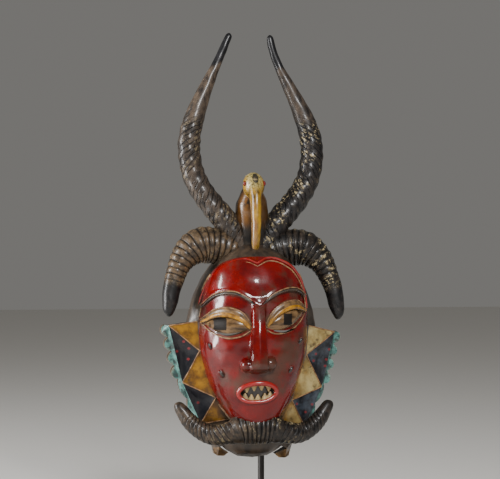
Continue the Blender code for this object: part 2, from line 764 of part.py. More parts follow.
def curve_bar(name, points, diameter, made_of, sides=12):
    """A round metal bar through places in metres."""
    path = [(*point, diameter / 2) for point in points]
    bar = new_object(name, sweep(path, sides, first_side=(1, 0, 0)), made_of)
    bar.data.shade_smooth()
    bar.data.set_sharp_from_angle(angle=math.radians(40))
    return bar


def rounded_corner(before, corner, after, radius, steps):
    """Points on an arc that rounds a right-angled corner."""
    towards_before = (before - corner).normalized()
    towards_after = (after - corner).normalized()
    centre = corner + radius * (towards_before + towards_after)
    arc = []
    for i in range(steps + 1):
        turn = math.pi / 2 * i / steps
        arc.append(centre - radius * (math.cos(turn) * towards_after + math.sin(turn) * towards_before))
    return arc


def stand_rod(made_of):
    """One bar: up from its socket behind the mask's rim, then forward into the hollow to the hanger bar."""
    hanger = hanger_place()
    foot = Vector((ROD_ASIDE, ROD_Y, BASE_THICKNESS - SOCKET_DEPTH + TOUCH_GAP))
    arm_height = hanger.z - HANGER_DIAMETER / 2 - ROD_DIAMETER / 2 - TOUCH_GAP
    elbow = Vector((ROD_ASIDE, ROD_Y, arm_height))
    end = Vector((ROD_ASIDE, hanger.y - HANGER_DIAMETER / 2, arm_height))
    line = [foot, *rounded_corner(foot, elbow, end, ROD_BEND_RADIUS, 6), end]
    return curve_bar("stand_rod", line, ROD_DIAMETER, made_of)


def hanger_bar(made_of):
    middle = hanger_place()
    half = Vector((HANGER_LENGTH / 2, 0, 0))
    ends = [(*(middle + way * half), HANGER_DIAMETER / 2) for way in (-1, 1)]
    return new_object("hanger_bar", sweep(ends, 12, first_side=(0, 0, 1)), made_of)


def steady_parts(metal, felt):
    """The bar behind the chin, and the two felt pads that the rim leans on."""
    height = MASK_Z + STEADY_HEIGHT
    half = STEADY_LENGTH / 2
    middle = Vector((ROD_ASIDE / 2, STEADY_Y, height))
    ends = [(*(middle + Vector((way * half, 0, 0))), STEADY_DIAMETER / 2) for way in (-1, 1)]
    new_object("steady_bar", sweep(ends, 12), metal)
    for way, word in ((-1, "left"), (1, "right")):
        across = middle.x + way * (half - PAD_INSET)
        front = Vector((across, PAD_BACK_Y - PAD_THICKNESS, height))
        back = Vector((across, PAD_BACK_Y, height))
        pad = [(*front, PAD_DIAMETER / 2), (*back, PAD_DIAMETER / 2)]
        new_object(f"felt_pad_{word}", sweep(pad, 16), felt)


def stand_base(made_of):
    """The flat plate with softened edges and a blind socket for the rod."""
    bm = bmesh.new()
    bmesh.ops.create_cube(bm, size=1)
    bmesh.ops.scale(bm, vec=(BASE_WIDTH, BASE_DEPTH, BASE_THICKNESS), verts=bm.verts)
    bmesh.ops.translate(bm, vec=(0, 0, BASE_THICKNESS / 2), verts=bm.verts)
    bmesh.ops.bevel(bm, geom=bm.edges, offset=BASE_EDGE, segments=2, affect="EDGES", profile=0.5, material=-1)
    base = new_object("stand_base", bm, made_of)
    low = Vector((ROD_ASIDE, ROD_Y, BASE_THICKNESS - SOCKET_DEPTH))
    high = Vector((ROD_ASIDE, ROD_Y, 2 * BASE_THICKNESS))
    radius = ROD_DIAMETER / 2 + TOUCH_GAP
    cut(base, {"socket": sweep([(*low, radius), (*high, radius)], 16, first_side=(1, 0, 0))})
    return base


def main():
    clear_scene()
    lacquer = new_material("painted_wood", RED_LACQUER, 0.3, 0.0)
    steel = new_material("black_steel", BLACK_STEEL, 0.45, 0.8)
    felt = new_material("grey_felt", GREY_FELT, 0.95, 0.0)
    carved_mask(lacquer)
    stand_base(steel)
    stand_rod(steel)
    hanger_bar(steel)
    steady_parts(steel, felt)


main()
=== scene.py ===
# %% [markdown]
# # A carved and painted mask on its stand
#
# This scene dresses a carved wooden mask: a red lacquered face under a bird and two tall horns, ram's horns at the
# sides, a folded collar with a scalloped edge and a pair of horns under the chin. The solids come from the packed
# model. The mask's visible surface is made again here with finer carving, in the same place and to the same sizes.

import json
import math

import bmesh
import bpy
import numpy as np
from mathutils import Matrix, Vector, noise
from mathutils.bvhtree import BVHTree

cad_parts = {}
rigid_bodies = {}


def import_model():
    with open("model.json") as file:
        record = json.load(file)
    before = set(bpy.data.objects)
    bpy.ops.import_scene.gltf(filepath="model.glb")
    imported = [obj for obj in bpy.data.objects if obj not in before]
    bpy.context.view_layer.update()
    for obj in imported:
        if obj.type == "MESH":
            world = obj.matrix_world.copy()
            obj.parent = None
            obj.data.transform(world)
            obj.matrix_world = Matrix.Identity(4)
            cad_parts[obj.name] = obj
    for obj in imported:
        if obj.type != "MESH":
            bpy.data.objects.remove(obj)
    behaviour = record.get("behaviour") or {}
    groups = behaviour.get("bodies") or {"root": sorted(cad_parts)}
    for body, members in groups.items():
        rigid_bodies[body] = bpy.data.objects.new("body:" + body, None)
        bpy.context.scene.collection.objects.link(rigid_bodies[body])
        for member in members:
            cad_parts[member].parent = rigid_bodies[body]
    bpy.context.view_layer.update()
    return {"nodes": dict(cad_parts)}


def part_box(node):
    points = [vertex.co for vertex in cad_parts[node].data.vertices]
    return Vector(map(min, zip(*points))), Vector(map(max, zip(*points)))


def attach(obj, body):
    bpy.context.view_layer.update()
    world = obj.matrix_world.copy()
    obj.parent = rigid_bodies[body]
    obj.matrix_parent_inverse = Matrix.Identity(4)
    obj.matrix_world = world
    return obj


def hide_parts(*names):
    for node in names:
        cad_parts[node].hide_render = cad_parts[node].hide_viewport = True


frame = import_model()

# %% [markdown]
# The carver works in shares of the block, so every length of the carving is in hundredths of the mask's height,
# from its lowest point and from the plane of the collar. The same numbers shaped the solid, so the finer surface
# lands where the solid is. The right side (+X) of the face sits a little higher than the left, as the carver's
# hand left it.

# %% The mask's own measure
MASK_HEIGHT = 0.508
WALL = 0.012
SLIT_HEIGHT = 0.0032
U = MASK_HEIGHT / 100
RIM_Y = 6.0
MASK_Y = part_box("mask")[1].y - RIM_Y * U
MASK_Z = 0.115
FACE_SLANT = 0.05
HORN_SLANT = -0.025
COLLAR_SLANT = -0.045
FEATURES_ASIDE = -0.45


def in_world(point, slant=0.0):
    """A point of the mask's own frame, in hundredths of its height, as a place in metres."""
    across, back, up = point
    return Vector((across * U, back * U + MASK_Y, (up + slant * across) * U + MASK_Z))


def place_in_world(bm, slant=0.0, tremble=0.0):
    """Moves a form from the mask's own measure to its place in metres. The knife's tremble keeps it hand-made."""
    for vert in bm.verts:
        vert.co = in_world(vert.co, slant)
        if tremble:
            vert.co += tremble * noise.noise_vector(vert.co / TREMBLE_LENGTH)


TREMBLE = 0.0005
TREMBLE_LENGTH = 0.012
print("the mask's own plane is at y", round(MASK_Y, 4), "and one unit is", round(1000 * U, 2), "mm")

# %% [markdown]
# Horns, lids, brows and the beak are all long forms that swell and taper. One helper draws a smooth curve through a
# few points, and another sweeps a ring along it, with a relief that can ring it with ribs or wind grooves round it.
# A curve object with a bevel could do this too, but it couldn't carry the ribs.

# %% Curves and sweeps
def smooth_through(points, steps):
    """Points on a smooth curve through the given ones, steps to each stretch."""
    held = [Vector(point) for point in points]
    held = [2 * held[0] - held[1], *held, 2 * held[-1] - held[-2]]
    found = []
    for before, start, end, after in zip(held, held[1:], held[2:], held[3:]):
        for step in range(steps):
            t = step / steps
            bend = 2 * before - 5 * start + 4 * end - after
            twist = 3 * (start - end) + after - before
            found.append(start + 0.5 * t * ((end - before) + t * (bend + t * twist)))
    return [*found, held[-2]]


def value_at(points, place):
    """The height of a smooth curve through (place, height) points, at one place."""
    low, high = points[0][0], points[-1][0]
    place = min(max(place, low), high)
    near = max(i for i, point in enumerate(points[:-1]) if point[0] <= place)
    start, end = points[near], points[near + 1]
    before = points[near - 1] if near > 0 else start
    after = points[near + 2] if near + 2 < len(points) else end
    span = end[0] - start[0]
    t = (place - start[0]) / span
    slope_in = (end[1] - before[1]) / (end[0] - before[0]) * span
    slope_out = (after[1] - start[1]) / (after[0] - start[0]) * span
    return (
        (2 * t**3 - 3 * t**2 + 1) * start[1]
        + (t**3 - 2 * t**2 + t) * slope_in
        + (3 * t**2 - 2 * t**3) * end[1]
        + (t**3 - t**2) * slope_out
    )


def sweep(path, sides, relief=None, flat=1.0, first_side=(0, 0, 1)):
    """A bmesh bar along path, whose points are (x, y, z, radius). relief(share, angle) scales the radius, and flat
    scales it along the first side's direction. Its UV map holds how far along and how far round each corner is."""
    bm = bmesh.new()
    place = bm.verts.layers.float_vector.new("place")
    steps = [(Vector(after[:3]) - Vector(before[:3])).length for before, after in zip(path, path[1:])]
    ring = bmesh.ops.create_circle(bm, cap_ends=True, segments=sides, radius=1)["verts"]
    normal = Vector(first_side)
    for i, point in enumerate(path):
        ahead = Vector(path[min(i + 1, len(path) - 1)][:3]) - Vector(path[max(i - 1, 0)][:3])
        tangent = ahead.normalized()
        normal = (normal - normal.dot(tangent) * tangent).normalized()
        across = tangent.cross(normal)
        if i > 0:
            edges = [edge for edge in bm.edges if edge.verts[0] in ring and edge.verts[1] in ring]
            grown = set(bmesh.ops.extrude_edge_only(bm, edges=edges)["geom"])
            ring = [next(e.other_vert(v) for e in v.link_edges if e.other_vert(v) in grown) for v in ring]
        share = sum(steps[:i]) / sum(steps)
        for j, vert in enumerate(ring):
            angle = math.tau * j / sides
            vert[place] = (share, j / sides, 0)
            swell = relief(share, angle) if relief else 1.0
            offset = flat * math.cos(angle) * normal + math.sin(angle) * across
            vert.co = Vector(path[i][:3]) + point[3] * swell * offset
    bm.faces.new(ring)
    winding = bm.loops.layers.uv.new("winding")
    for face in bm.faces:
        turns = [vert[place].y for vert in face.verts]
        for loop in face.loops:
            share, turn, _ = loop.vert[place]
            loop[winding].uv = (share, turn + 1 if max(turns) - turn > 0.5 else turn)
    return bm


def smooth_step(low, high, value):
    """Rises smoothly from 0 at low to 1 at high."""
    share = min(max((value - low) / (high - low), 0.0), 1.0)
    return share * share * (3 - 2 * share)


def bump_at(value, centre, width):
    """A soft bump, 1 at its centre."""
    return math.exp(-(((value - centre) / width) ** 2))


print("a curve through three points, one step each:", len(smooth_through([(0, 0, 0), (1, 0, 0), (2, 1, 0)], 1)))

# %% [markdown]
# The wooden block becomes one mesh at the end: all forms are joined by one Boolean union, and the hollow is cut
# from behind. Each form carries the number of its paint, so the joined mesh knows which paint is where.

# %% Paints and the list of forms
PAINTS = (
    "red_lacquer",
    "dark_wood",
    "tall_horn",
    "ribbed_horn",
    "ochre",
    "blue_black",
    "turquoise",
    "eyeball",
    "tooth",
    "lip",
    "bare_wood",
    "worn_edge",
    "peg",
    "bird",
    "bird_body",
    "lid_tan",
    "lid_gold",
)
PAINT = {name: i for i, name in enumerate(PAINTS)}
joined = bpy.data.collections.new("forms_to_join")
removed = bpy.data.collections.new("forms_to_cut")
for collection in (joined, removed):
    bpy.context.scene.collection.children.link(collection)


def keep_form(name, bm, paint=None, cut=False):
    """Stores a form as a helper object. Its faces get the paint, unless they have theirs already."""
    bmesh.ops.recalc_face_normals(bm, faces=bm.faces)
    if paint is not None:
        for face in bm.faces:
            face.material_index = PAINT[paint]
    mesh = bpy.data.meshes.new(name)
    bm.to_mesh(mesh)
    bm.free()
    for paint_name in PAINTS:
        mesh.materials.append(bpy.data.materials.get(paint_name) or bpy.data.materials.new(paint_name))
    form = bpy.data.objects.new(name, mesh)
    (removed if cut else joined).objects.link(form)
    print(name, len(mesh.polygons), "faces")
    return form


# %% [markdown]
# The head is an egg of level sections. A sphere's rings are moved to those sections, so the egg keeps clean rows and
# columns. The face is a second, narrower egg that stands out of the first. Its rows and columns are close together
# in front, where the carving is.

# %% The head shell
HEAD_LOW, HEAD_MIDDLE, HEAD_HIGH, HEAD_HALF_WIDTH = 0.0, 30.0, 50.5, 15.3
FACE_LOW, FACE_MIDDLE, FACE_HIGH, FACE_HALF_WIDTH = 6.0, 31.0, 47.3, 13.05
HEAD_FRONT = (
    (0, 0),
    (1.5, -3.2),
    (4, -4.4),
    (8, -3.6),
    (20, -2.6),
    (30, -3.2),
    (37, -6.8),
    (44, -9.6),
    (48, -7),
    (50.5, -1.5),
)
HEAD_SIDE = ((0, 0.0), (6, 1.0), (30, 1.2), (44, 0.6), (50.5, 0))
FACE_FRONT = (
    (6, -6.0),
    (8, -8.4),
    (10.5, -9.9),
    (15.3, -11.0),
    (22, -11.8),
    (33, -12.5),
    (37, -13.0),
    (41, -12.8),
    (44, -11.6),
    (46.3, -9.9),
    (47.3, -8.5),
)
FACE_SIDE = ((6, -6.0), (10, -3.6), (14.5, -1.6), (20, -0.6), (30, 0), (37, -0.6), (42, -3), (45, -5.8), (47.3, -8.5))
FRONT_CROWDING = 0.4
ROW_EVENNESS = 0.6


def egg_width(height, low, middle, high, blunt_top, blunt_bottom):
    """The share of the full width at a height, on an egg whose ends have their own bluntness."""
    if height > middle:
        power, root = blunt_top
        share = (height - middle) / (high - middle)
    else:
        power, root = blunt_bottom
        share = (middle - height) / (middle - low)
    return max(0.0, 1 - min(share, 1.0) ** power) ** (1 / root)


def face_half_width(height):
    return FACE_HALF_WIDTH * egg_width(height, FACE_LOW, FACE_MIDDLE, FACE_HIGH, (2.3, 3.0), (1.9, 1.65))


def head_half_width(height):
    return HEAD_HALF_WIDTH * egg_width(height, HEAD_LOW, HEAD_MIDDLE, HEAD_HIGH, (1.6, 2.0), (2.0, 2.3))


def stack_of_sections(low, high, half_width, front, side, rings, segments, flare=0.0):
    """A round closed form whose section at each height has its own width, front and widest line."""
    bm = bmesh.new()
    bmesh.ops.create_uvsphere(bm, u_segments=segments, v_segments=rings, radius=1)
    for vert in bm.verts:
        turn = math.atan2(vert.co.x, -vert.co.y)
        turn -= FRONT_CROWDING * math.sin(turn)
        even = math.asin(max(-1.0, min(1.0, vert.co.z))) / (math.pi / 2)
        height = (low + high) / 2 + (high - low) / 2 * (ROW_EVENNESS * even + (1 - ROW_EVENNESS) * vert.co.z)
        wide = half_width(height) if abs(vert.co.z) < 0.9999 else 0.0
        line = value_at(side, height)
        if math.cos(turn) > 0:
            across = wide * math.sin(turn)
            back = line + (value_at(front, height) - line) * math.cos(turn)
        else:
            steep = math.copysign(abs(math.sin(turn)) ** 0.35, math.sin(turn))
            across = wide * steep * (1 + flare * abs(math.cos(turn)) ** 0.5)
            back = line + (2 * RIM_Y - line) * abs(math.cos(turn)) ** 0.7
        if wide == 0.0:
            across, back = 0.0, line
        vert.co = (across, back, height)
    return bm


def cut_flat_behind(bm, back):
    """Cuts the form off on the plane of the rim and closes it there."""
    everything = [*bm.verts, *bm.edges, *bm.faces]
    plane = {"plane_co": (0, back, 0), "plane_no": (0, 1, 0)}
    cut = bmesh.ops.bisect_plane(bm, geom=everything, clear_outer=True, **plane)
    rim = [part for part in cut["geom_cut"] if isinstance(part, bmesh.types.BMEdge)]
    bmesh.ops.holes_fill(bm, edges=rim, sides=0)


head = stack_of_sections(HEAD_LOW, HEAD_HIGH, head_half_width, HEAD_FRONT, HEAD_SIDE, rings=60, segments=90)
cut_flat_behind(head, RIM_Y)
place_in_world(head, tremble=2 * TREMBLE)
shell = keep_form("head_shell", head, "dark_wood")

# %% [markdown]
# The face's brows, nose and mouth aren't stuck on: they are heights above the egg. A knife would cut them the same
# way, by taking wood away round them. The brow is a step that meets in a V over the nose. The nose is a long ridge
# with a sharp line down its front, cut off square below between two round wings, and the mouth is a hole within the
# ring of the lips.

# %% The carved face
BROWS = {
    -1: ((0.0, 36.0), (2.2, 37.9), (5.0, 39.5), (7.9, 39.7), (10.2, 38.7), (12.6, 35.9)),
    1: ((0.0, 36.0), (2.2, 37.9), (5.0, 39.4), (7.9, 39.8), (10.2, 39.2), (12.6, 37.3)),
}
BROW_STEP, BROW_EDGE, BROW_RIDGE = 0.55, 0.32, 0.28
NOSE_RIDGE = ((20.6, 0.0), (21.1, 1.1), (21.6, 3.2), (22.4, 3.9), (24.0, 3.85), (29.0, 2.8), (34.0, 1.5), (37.0, 0.5))
NOSE_WIDTH = ((20.6, 2.0), (22.5, 1.85), (26.0, 1.7), (31.0, 1.6), (35.0, 1.55), (37.0, 1.7))
NOSE_CREASE, NOSE_SIDE = 0.24, 0.32
WING_ASIDE, WING_HEIGHT, WING_WIDTH, WING_TALL, WING_LIFT = 2.35, 22.75, 1.75, 1.7, 2.5
LIP_HALF_WIDTH, LIP_HALF_HEIGHT, LIP_HEIGHT, LIP_RADIUS = 4.2, 2.2, 16.2, 0.5
MOUTH_DEPTH = 1.35
SOCKET_DEPTH = 0.55
EYE_CENTRE, EYE_HEIGHT, EYE_TILT = 6.7, 31.7, 0.10
EYE_HALF_WIDTH, EYE_HALF_HEIGHT, EYE_BULGE = 5.3, 2.1, 1.5


def face_relief(across, height):
    """How far the carving stands above the egg of the face, at a place on it."""
    aside = abs(across)
    below_brow = value_at(BROWS[1 if across > 0 else -1], aside) - height
    step = BROW_STEP * smooth_step(0, BROW_EDGE, below_brow) * (1 - smooth_step(1.0, 7.0, below_brow))
    ridge = BROW_RIDGE * bump_at(below_brow, -0.25, 0.45)
    sides = 1 - smooth_step(11.6, 12.6, aside)
    dish = SOCKET_DEPTH * bump_at(aside, EYE_CENTRE, 5.5) * bump_at(height, EYE_HEIGHT + 0.4, 2.9)
    lift = value_at(NOSE_RIDGE, height) if height < 37.0 else 0.5 * (1 - smooth_step(37.0, 38.4, height))
    half = value_at(NOSE_WIDTH, height)
    edge = 1 - smooth_step(half - NOSE_SIDE, half + NOSE_SIDE, aside)
    nose = lift * (1 - NOSE_CREASE * aside / half) * edge if height > 20.6 else 0.0
    lobe = ((aside - WING_ASIDE) / WING_WIDTH) ** 2 + ((height - WING_HEIGHT) / WING_TALL) ** 2
    wing = WING_LIFT * math.sqrt(max(0.0, 1 - lobe)) * smooth_step(20.9, 21.5, height)
    muzzle = 0.45 * bump_at(aside, 0, 5.5) * bump_at(height, LIP_HEIGHT, 3.6)
    chin = 0.5 * bump_at(aside, 0, 3.5) * bump_at(height, 10.4, 2.2)
    oval = math.hypot(across / LIP_HALF_WIDTH, (height - LIP_HEIGHT) / LIP_HALF_HEIGHT)
    mouth = MOUTH_DEPTH * (1 - smooth_step(0.82, 0.98, oval))
    return (ridge - step) * sides - dish + max(nose, wing) + muzzle + chin - mouth


def on_face(across, height, proud=0.0):
    """A point on the face's front, or standing proud of it. The features sit a little to one side."""
    across += FEATURES_ASIDE
    wide = face_half_width(height)
    line = value_at(FACE_SIDE, height)
    share = min(abs(across) / wide, 0.995)
    depth = (line - value_at(FACE_FRONT, height)) * math.sqrt(1 - share * share)
    outward = Vector((share / wide * math.copysign(1, across), -math.sqrt(1 - share * share) / max(depth, 1), 0))
    return Vector((across, line - depth, height)) + proud * outward.normalized()


face = stack_of_sections(FACE_LOW, FACE_HIGH, face_half_width, FACE_FRONT, FACE_SIDE, rings=170, segments=190)
for vert in face.verts:
    across, back, height = vert.co
    if back < value_at(FACE_SIDE, height) - 0.02 and abs(across) < 0.985 * face_half_width(height):
        along = across - FEATURES_ASIDE
        vert.co = on_face(along, height, face_relief(along, height - FACE_SLANT * across))
cut_flat_behind(face, RIM_Y - 1)
for part in face.faces:
    across, back, height = part.calc_center_median()
    height -= LIP_HEIGHT + FACE_SLANT * across
    in_mouth = math.hypot((across - FEATURES_ASIDE) / LIP_HALF_WIDTH, height / LIP_HALF_HEIGHT) < 0.95
    part.material_index = PAINT["peg" if in_mouth and back < 0 else "red_lacquer"]
place_in_world(face, tremble=TREMBLE)
keep_form("face", face)

FACE_RIM, RIM_LOW, RIM_HIGH, RIM_STEPS = 0.3, 9.0, 43.0, 60
for side, word in ((-1, "left"), (1, "right")):
    rim = []
    for i in range(RIM_STEPS + 1):
        height = RIM_LOW + (RIM_HIGH - RIM_LOW) * i / RIM_STEPS
        rim.append((side * face_half_width(height), value_at(FACE_SIDE, height) - 0.3, height, FACE_RIM))
    edge = sweep(rim, 8, first_side=(0, 1, 0))
    place_in_world(edge, tremble=TREMBLE)
    keep_form(f"face_rim_{word}", edge, "worn_edge")

# %% [markdown]
# Each eye is a bulging almond with a band of lid above it. On the real mask the band is a flat raised strip, tan above
# and golden below, with a thin worn edge, and a second thin edge runs under the eye. The brow's step has a worn edge
# too, over a thin black line that is painted shadow, the shade under the step. All are swept along the face.

# %% Eyes and their lids
LID_BAND = ((1.9, 31.3), (3.6, 33.7), (6.3, 35.1), (9.3, 34.9), (12.1, 32.7))
GOLD_BAND = ((1.8, 31.0), (3.6, 32.95), (6.3, 34.25), (9.3, 34.1), (12.1, 32.4))
# How far under the brow's worn edge the black line of painted shadow runs.
BROW_SHADOW_GAP = 0.45
EYE_INNER, EYE_RISE = 1.9, {-1: 0.02, 1: 0.155}
UPPER_EDGE = ((1.3, 31.2), (3.2, 34.3), (6.3, 35.8), (9.6, 35.5), (12.5, 32.9))
LOWER_EDGE = ((1.5, 30.7), (4.0, 29.2), (7.0, 28.9), (9.9, 30.0), (12.1, 32.1))
EYE_EDGE = ((1.6, 30.9), (3.6, 32.6), (6.4, 33.85), (9.4, 33.7), (12.0, 32.3))


def mirrored(points, side):
    return [(side * point[0], *point[1:]) for point in points]


def bead_on_face(points, radius, sides, steps, flat=1.0, sink=0.35, taper=0.65):
    """A raised line on the face through (across, height) points, thinner towards its ends."""
    line = smooth_through([(across, height, 0) for across, height in points], steps)
    last = len(line) - 1
    path = []
    for i, (across, height, _) in enumerate(line):
        thick = radius * (1 - taper + taper * math.sin(math.pi * i / last) ** 0.7)
        path.append((*on_face(across, height, -sink * radius * flat), thick))
    bm = sweep(path, sides, flat=flat, first_side=(0, 1, 0))
    place_in_world(bm, FACE_SLANT, TREMBLE)
    return bm


def eye_line(points, side):
    """A line round an eye. The right eye slopes up more than the left."""
    return [(side * across, height + EYE_RISE[side] * (across - EYE_INNER)) for across, height in points]


def eye_form(side):
    """The bulging almond of an eye."""
    tilt = EYE_TILT + EYE_RISE[side]
    middle = EYE_HEIGHT + EYE_RISE[side] * (EYE_CENTRE - EYE_INNER)
    bm = bmesh.new()
    bmesh.ops.create_uvsphere(bm, u_segments=48, v_segments=32, radius=1)
    for vert in bm.verts:
        along, out, up = vert.co
        pinch = 1 - 0.45 * along * along
        across = side * (EYE_CENTRE + EYE_HALF_WIDTH * along)
        height = middle + EYE_HALF_HEIGHT * pinch * up + tilt * EYE_HALF_WIDTH * along
        vert.co = on_face(across, height, -EYE_BULGE * pinch * out - 0.75)
    place_in_world(bm, FACE_SLANT, TREMBLE)
    return bm


for side, word in ((-1, "left"), (1, "right")):
    keep_form(f"eye_{word}", eye_form(side), "eyeball")
    lid = bead_on_face(eye_line(LID_BAND, side), 0.95, 14, 12, flat=0.7)
    keep_form(f"lid_{word}", lid, "lid_tan")
    gold = bead_on_face(eye_line(GOLD_BAND, side), 0.72, 14, 12, sink=0.1)
    keep_form(f"gold_{word}", gold, "lid_gold")
    keep_form(f"upper_edge_{word}", bead_on_face(eye_line(UPPER_EDGE, side), 0.18, 8, 12), "worn_edge")
    keep_form(f"lower_edge_{word}", bead_on_face(eye_line(LOWER_EDGE, side), 0.2, 8, 12), "worn_edge")
    keep_form(f"eye_edge_{word}", bead_on_face(eye_line(EYE_EDGE, side), 0.26, 8, 12, sink=-0.6), "peg")
    brow = [(-0.1, BROWS[side][0][1]), *BROWS[side][1:-1], (12.3, BROWS[side][-1][1] + 0.5)]
    lower = [(across, height - BROW_SHADOW_GAP) for across, height in brow]
    keep_form(f"brow_{word}", bead_on_face(mirrored(brow, side), 0.15, 8, 14, sink=-1.2, taper=0.4), "worn_edge")
    # The black line just under the brow's worn edge is painted shadow, the shade that the step casts.
    keep_form(f"brow_shadow_line_{word}", bead_on_face(mirrored(lower, side), 0.36, 8, 14, sink=0.25, taper=0.6), "peg")

# %% [markdown]
# Two raised lines make the heart-shaped hairline, the outer one thicker. The lips are an oval ring painted a brighter
# red, and the teeth are small wedges that interlock over the dark of the mouth.

# %% Hairline, lips and teeth
HAIRLINE = ((-0.05, 45.7), (2.4, 46.8), (5.2, 46.4), (8.2, 44.7), (10.5, 42.0), (12.1, 38.2), (12.75, 34.6))
INNER_LINE_GAP = 0.72
UPPER_TEETH, LOWER_TEETH = (-2.6, -0.85, 0.95, 2.7), (-3.0, -1.5, 0.1, 1.75, 3.1)
TEETH = [(across, True) for across in UPPER_TEETH] + [(across, False) for across in LOWER_TEETH]
TOOTH_HALF_WIDTH, TOOTH_LENGTH, TOOTH_ROOT, TOOTH_SUNK = 1.25, 1.4, 0.6, 0.5


def lip_form():
    """The raised oval of the lips: a circle's ring swept round the mouth."""
    around = 72
    path = []
    for i in range(around + 1):
        turn = math.tau * i / around
        across, height = LIP_HALF_WIDTH * math.cos(turn), LIP_HEIGHT + LIP_HALF_HEIGHT * math.sin(turn)
        path.append((*on_face(across, height, 0.42), LIP_RADIUS * (1.05 + 0.12 * math.sin(turn))))
    bm = sweep(path[:-1], 12, first_side=(0, 1, 0))
    caps = [face for face in bm.faces if len(face.verts) == 12]
    bmesh.ops.delete(bm, geom=caps, context="FACES_ONLY")
    bmesh.ops.bridge_loops(bm, edges=[edge for edge in bm.edges if edge.is_boundary])
    place_in_world(bm, FACE_SLANT, TREMBLE)
    return bm


def tooth_form(across, upper):
    """A pointed tooth: a cone with its root in the lip, flattened against the face."""
    bm = bmesh.new()
    way = 1 if upper else -1
    tall = LIP_HALF_HEIGHT * math.sqrt(1 - (across / LIP_HALF_WIDTH) ** 2)
    root, reach = LIP_HEIGHT + way * (tall + 0.2), TOOTH_ROOT + TOOTH_LENGTH * (0.55 + 0.45 * tall / LIP_HALF_HEIGHT)
    bmesh.ops.create_cone(bm, cap_ends=True, segments=10, radius1=1, radius2=0.12, depth=1)
    for vert in bm.verts:
        a, b, up = vert.co
        vert.co = on_face(across + TOOTH_HALF_WIDTH * a, root - way * reach * (up + 0.5), -TOOTH_SUNK - 0.75 * b)
    place_in_world(bm, FACE_SLANT, 0.5 * TREMBLE)
    return bm


for side, word in ((-1, "left"), (1, "right")):
    inner = [(side * across * 0.97, height - INNER_LINE_GAP) for across, height in HAIRLINE]
    keep_form(f"hairline_{word}", bead_on_face(mirrored(HAIRLINE, side), 0.3, 8, 14, taper=0.3), "lip")
    keep_form(f"inner_line_{word}", bead_on_face(inner, 0.17, 8, 14, taper=0.3), "worn_edge")
keep_form("lips", lip_form(), "lip")
for i, (across, upper) in enumerate(TEETH):
    keep_form(f"tooth_{i}", tooth_form(across, upper), "tooth")

# %% [markdown]
# Four dark pegs stand out of the cheeks, two on each side, each slanting on a small worn rim.

# %% Cheek pegs
CHEEK_MARKS = ((10.4, 27.2), (7.9, 20.8))


PEG_SIZE, PEG_RIM_SIZE = (0.42, 0.5, 0.9), (0.72, 0.3, 1.1)


def cheek_mark(side, across, height, size):
    """A small oval that stands out of the cheek."""
    bm = bmesh.new()
    bmesh.ops.create_icosphere(bm, subdivisions=3, radius=1)
    bmesh.ops.scale(bm, vec=size, verts=bm.verts)
    bmesh.ops.rotate(bm, matrix=Matrix.Rotation(side * 0.6, 3, "Y"), verts=bm.verts)
    bmesh.ops.translate(bm, vec=on_face(side * across, height, 0.12), verts=bm.verts)
    place_in_world(bm, FACE_SLANT, TREMBLE)
    return bm


for side, word in ((-1, "left"), (1, "right")):
    for i, (across, height) in enumerate(CHEEK_MARKS):
        keep_form(f"cheek_peg_{word}_{i}", cheek_mark(side, across, height, PEG_SIZE), "peg")
        keep_form(f"peg_rim_{word}_{i}", cheek_mark(side, across, height, PEG_RIM_SIZE), "red_lacquer")

# %% [markdown]
# The horns follow the solids' own curves. The tall horns have steep grooves that wind round them over their lower
# part, broken by a long ridge on the inner side, and then run out smooth to black tips. The ram's horns have shallow
# grooves straight across. The chin's pair has upright grooves in the middle and slanting ones outside. A groove is a
# narrow dip in the radius, and a knife never cuts two alike, so each one wanders and breaks off a little. The finest
# of them are left to the bump of the paint, which follows the same winding.

# %% Horns
TALL_HORN = (
    (2.2, 1.0, 48.5, 3.1),
    (6.0, 1.0, 55.0, 3.05),
    (9.2, 1.2, 58.9, 2.95),
    (11.9, 1.5, 62.5, 2.85),
    (13.7, 1.8, 66.3, 2.75),
    (14.6, 2.0, 70.8, 2.7),
    (14.4, 2.3, 75.2, 2.6),
    (13.1, 2.7, 80.3, 2.3),
    (10.9, 3.1, 85.9, 1.7),
    (8.3, 3.5, 91.7, 1.12),
    (6.3, 3.8, 96.2, 0.92),
    (5.1, 4.0, 99.0, 0.78),
    (4.85, 4.0, 99.7, 0.5),
    (4.75, 4.0, 99.95, 0.15),
)
RIGHT_HORN_BEND = ((78.0, 0.0), (85.9, 0.6), (91.7, 1.0), (96.2, 0.75), (99.0, 0.15), (99.95, 0.0))
RAM_HORN = (
    (3.0, 1.5, 47.8, 3.9),
    (7.0, 1.2, 49.2, 4.25),
    (10.8, 0.8, 49.6, 4.45),
    (13.2, 0.3, 49.1, 4.2),
    (15.4, -0.2, 47.5, 3.55),
    (17.1, -0.8, 45.2, 2.85),
    (18.4, -1.5, 42.0, 2.35),
    (19.2, -2.0, 39.3, 2.1),
    (19.7, -2.5, 36.3, 1.85),
    (19.95, -2.8, 34.4, 1.4),
    (20.0, -2.9, 33.3, 0.75),
    (20.0, -3.0, 33.0, 0.25),
)
BEARD_HORN = (
    (0.0, -6.4, 7.7, 3.85),
    (3.3, -6.4, 7.4, 3.6),
    (5.2, -6.3, 6.8, 2.95),
    (7.3, -6.0, 6.4, 2.65),
    (10.2, -5.2, 6.1, 2.4),
    (13.0, -4.4, 7.2, 2.15),
    (15.3, -3.6, 9.2, 1.95),
    (16.9, -3.1, 11.4, 1.55),
    (17.7, -2.8, 12.6, 1.25),
    (18.05, -2.7, 13.2, 0.8),
    (18.15, -2.65, 13.4, 0.25),
)
TALL_HORN_STARTS, TALL_HORN_GROOVES, TALL_HORN_CARVED = 9, 42, 0.66
RAM_HORN_RIBS, RAM_HORN_CARVED = 15, 0.72
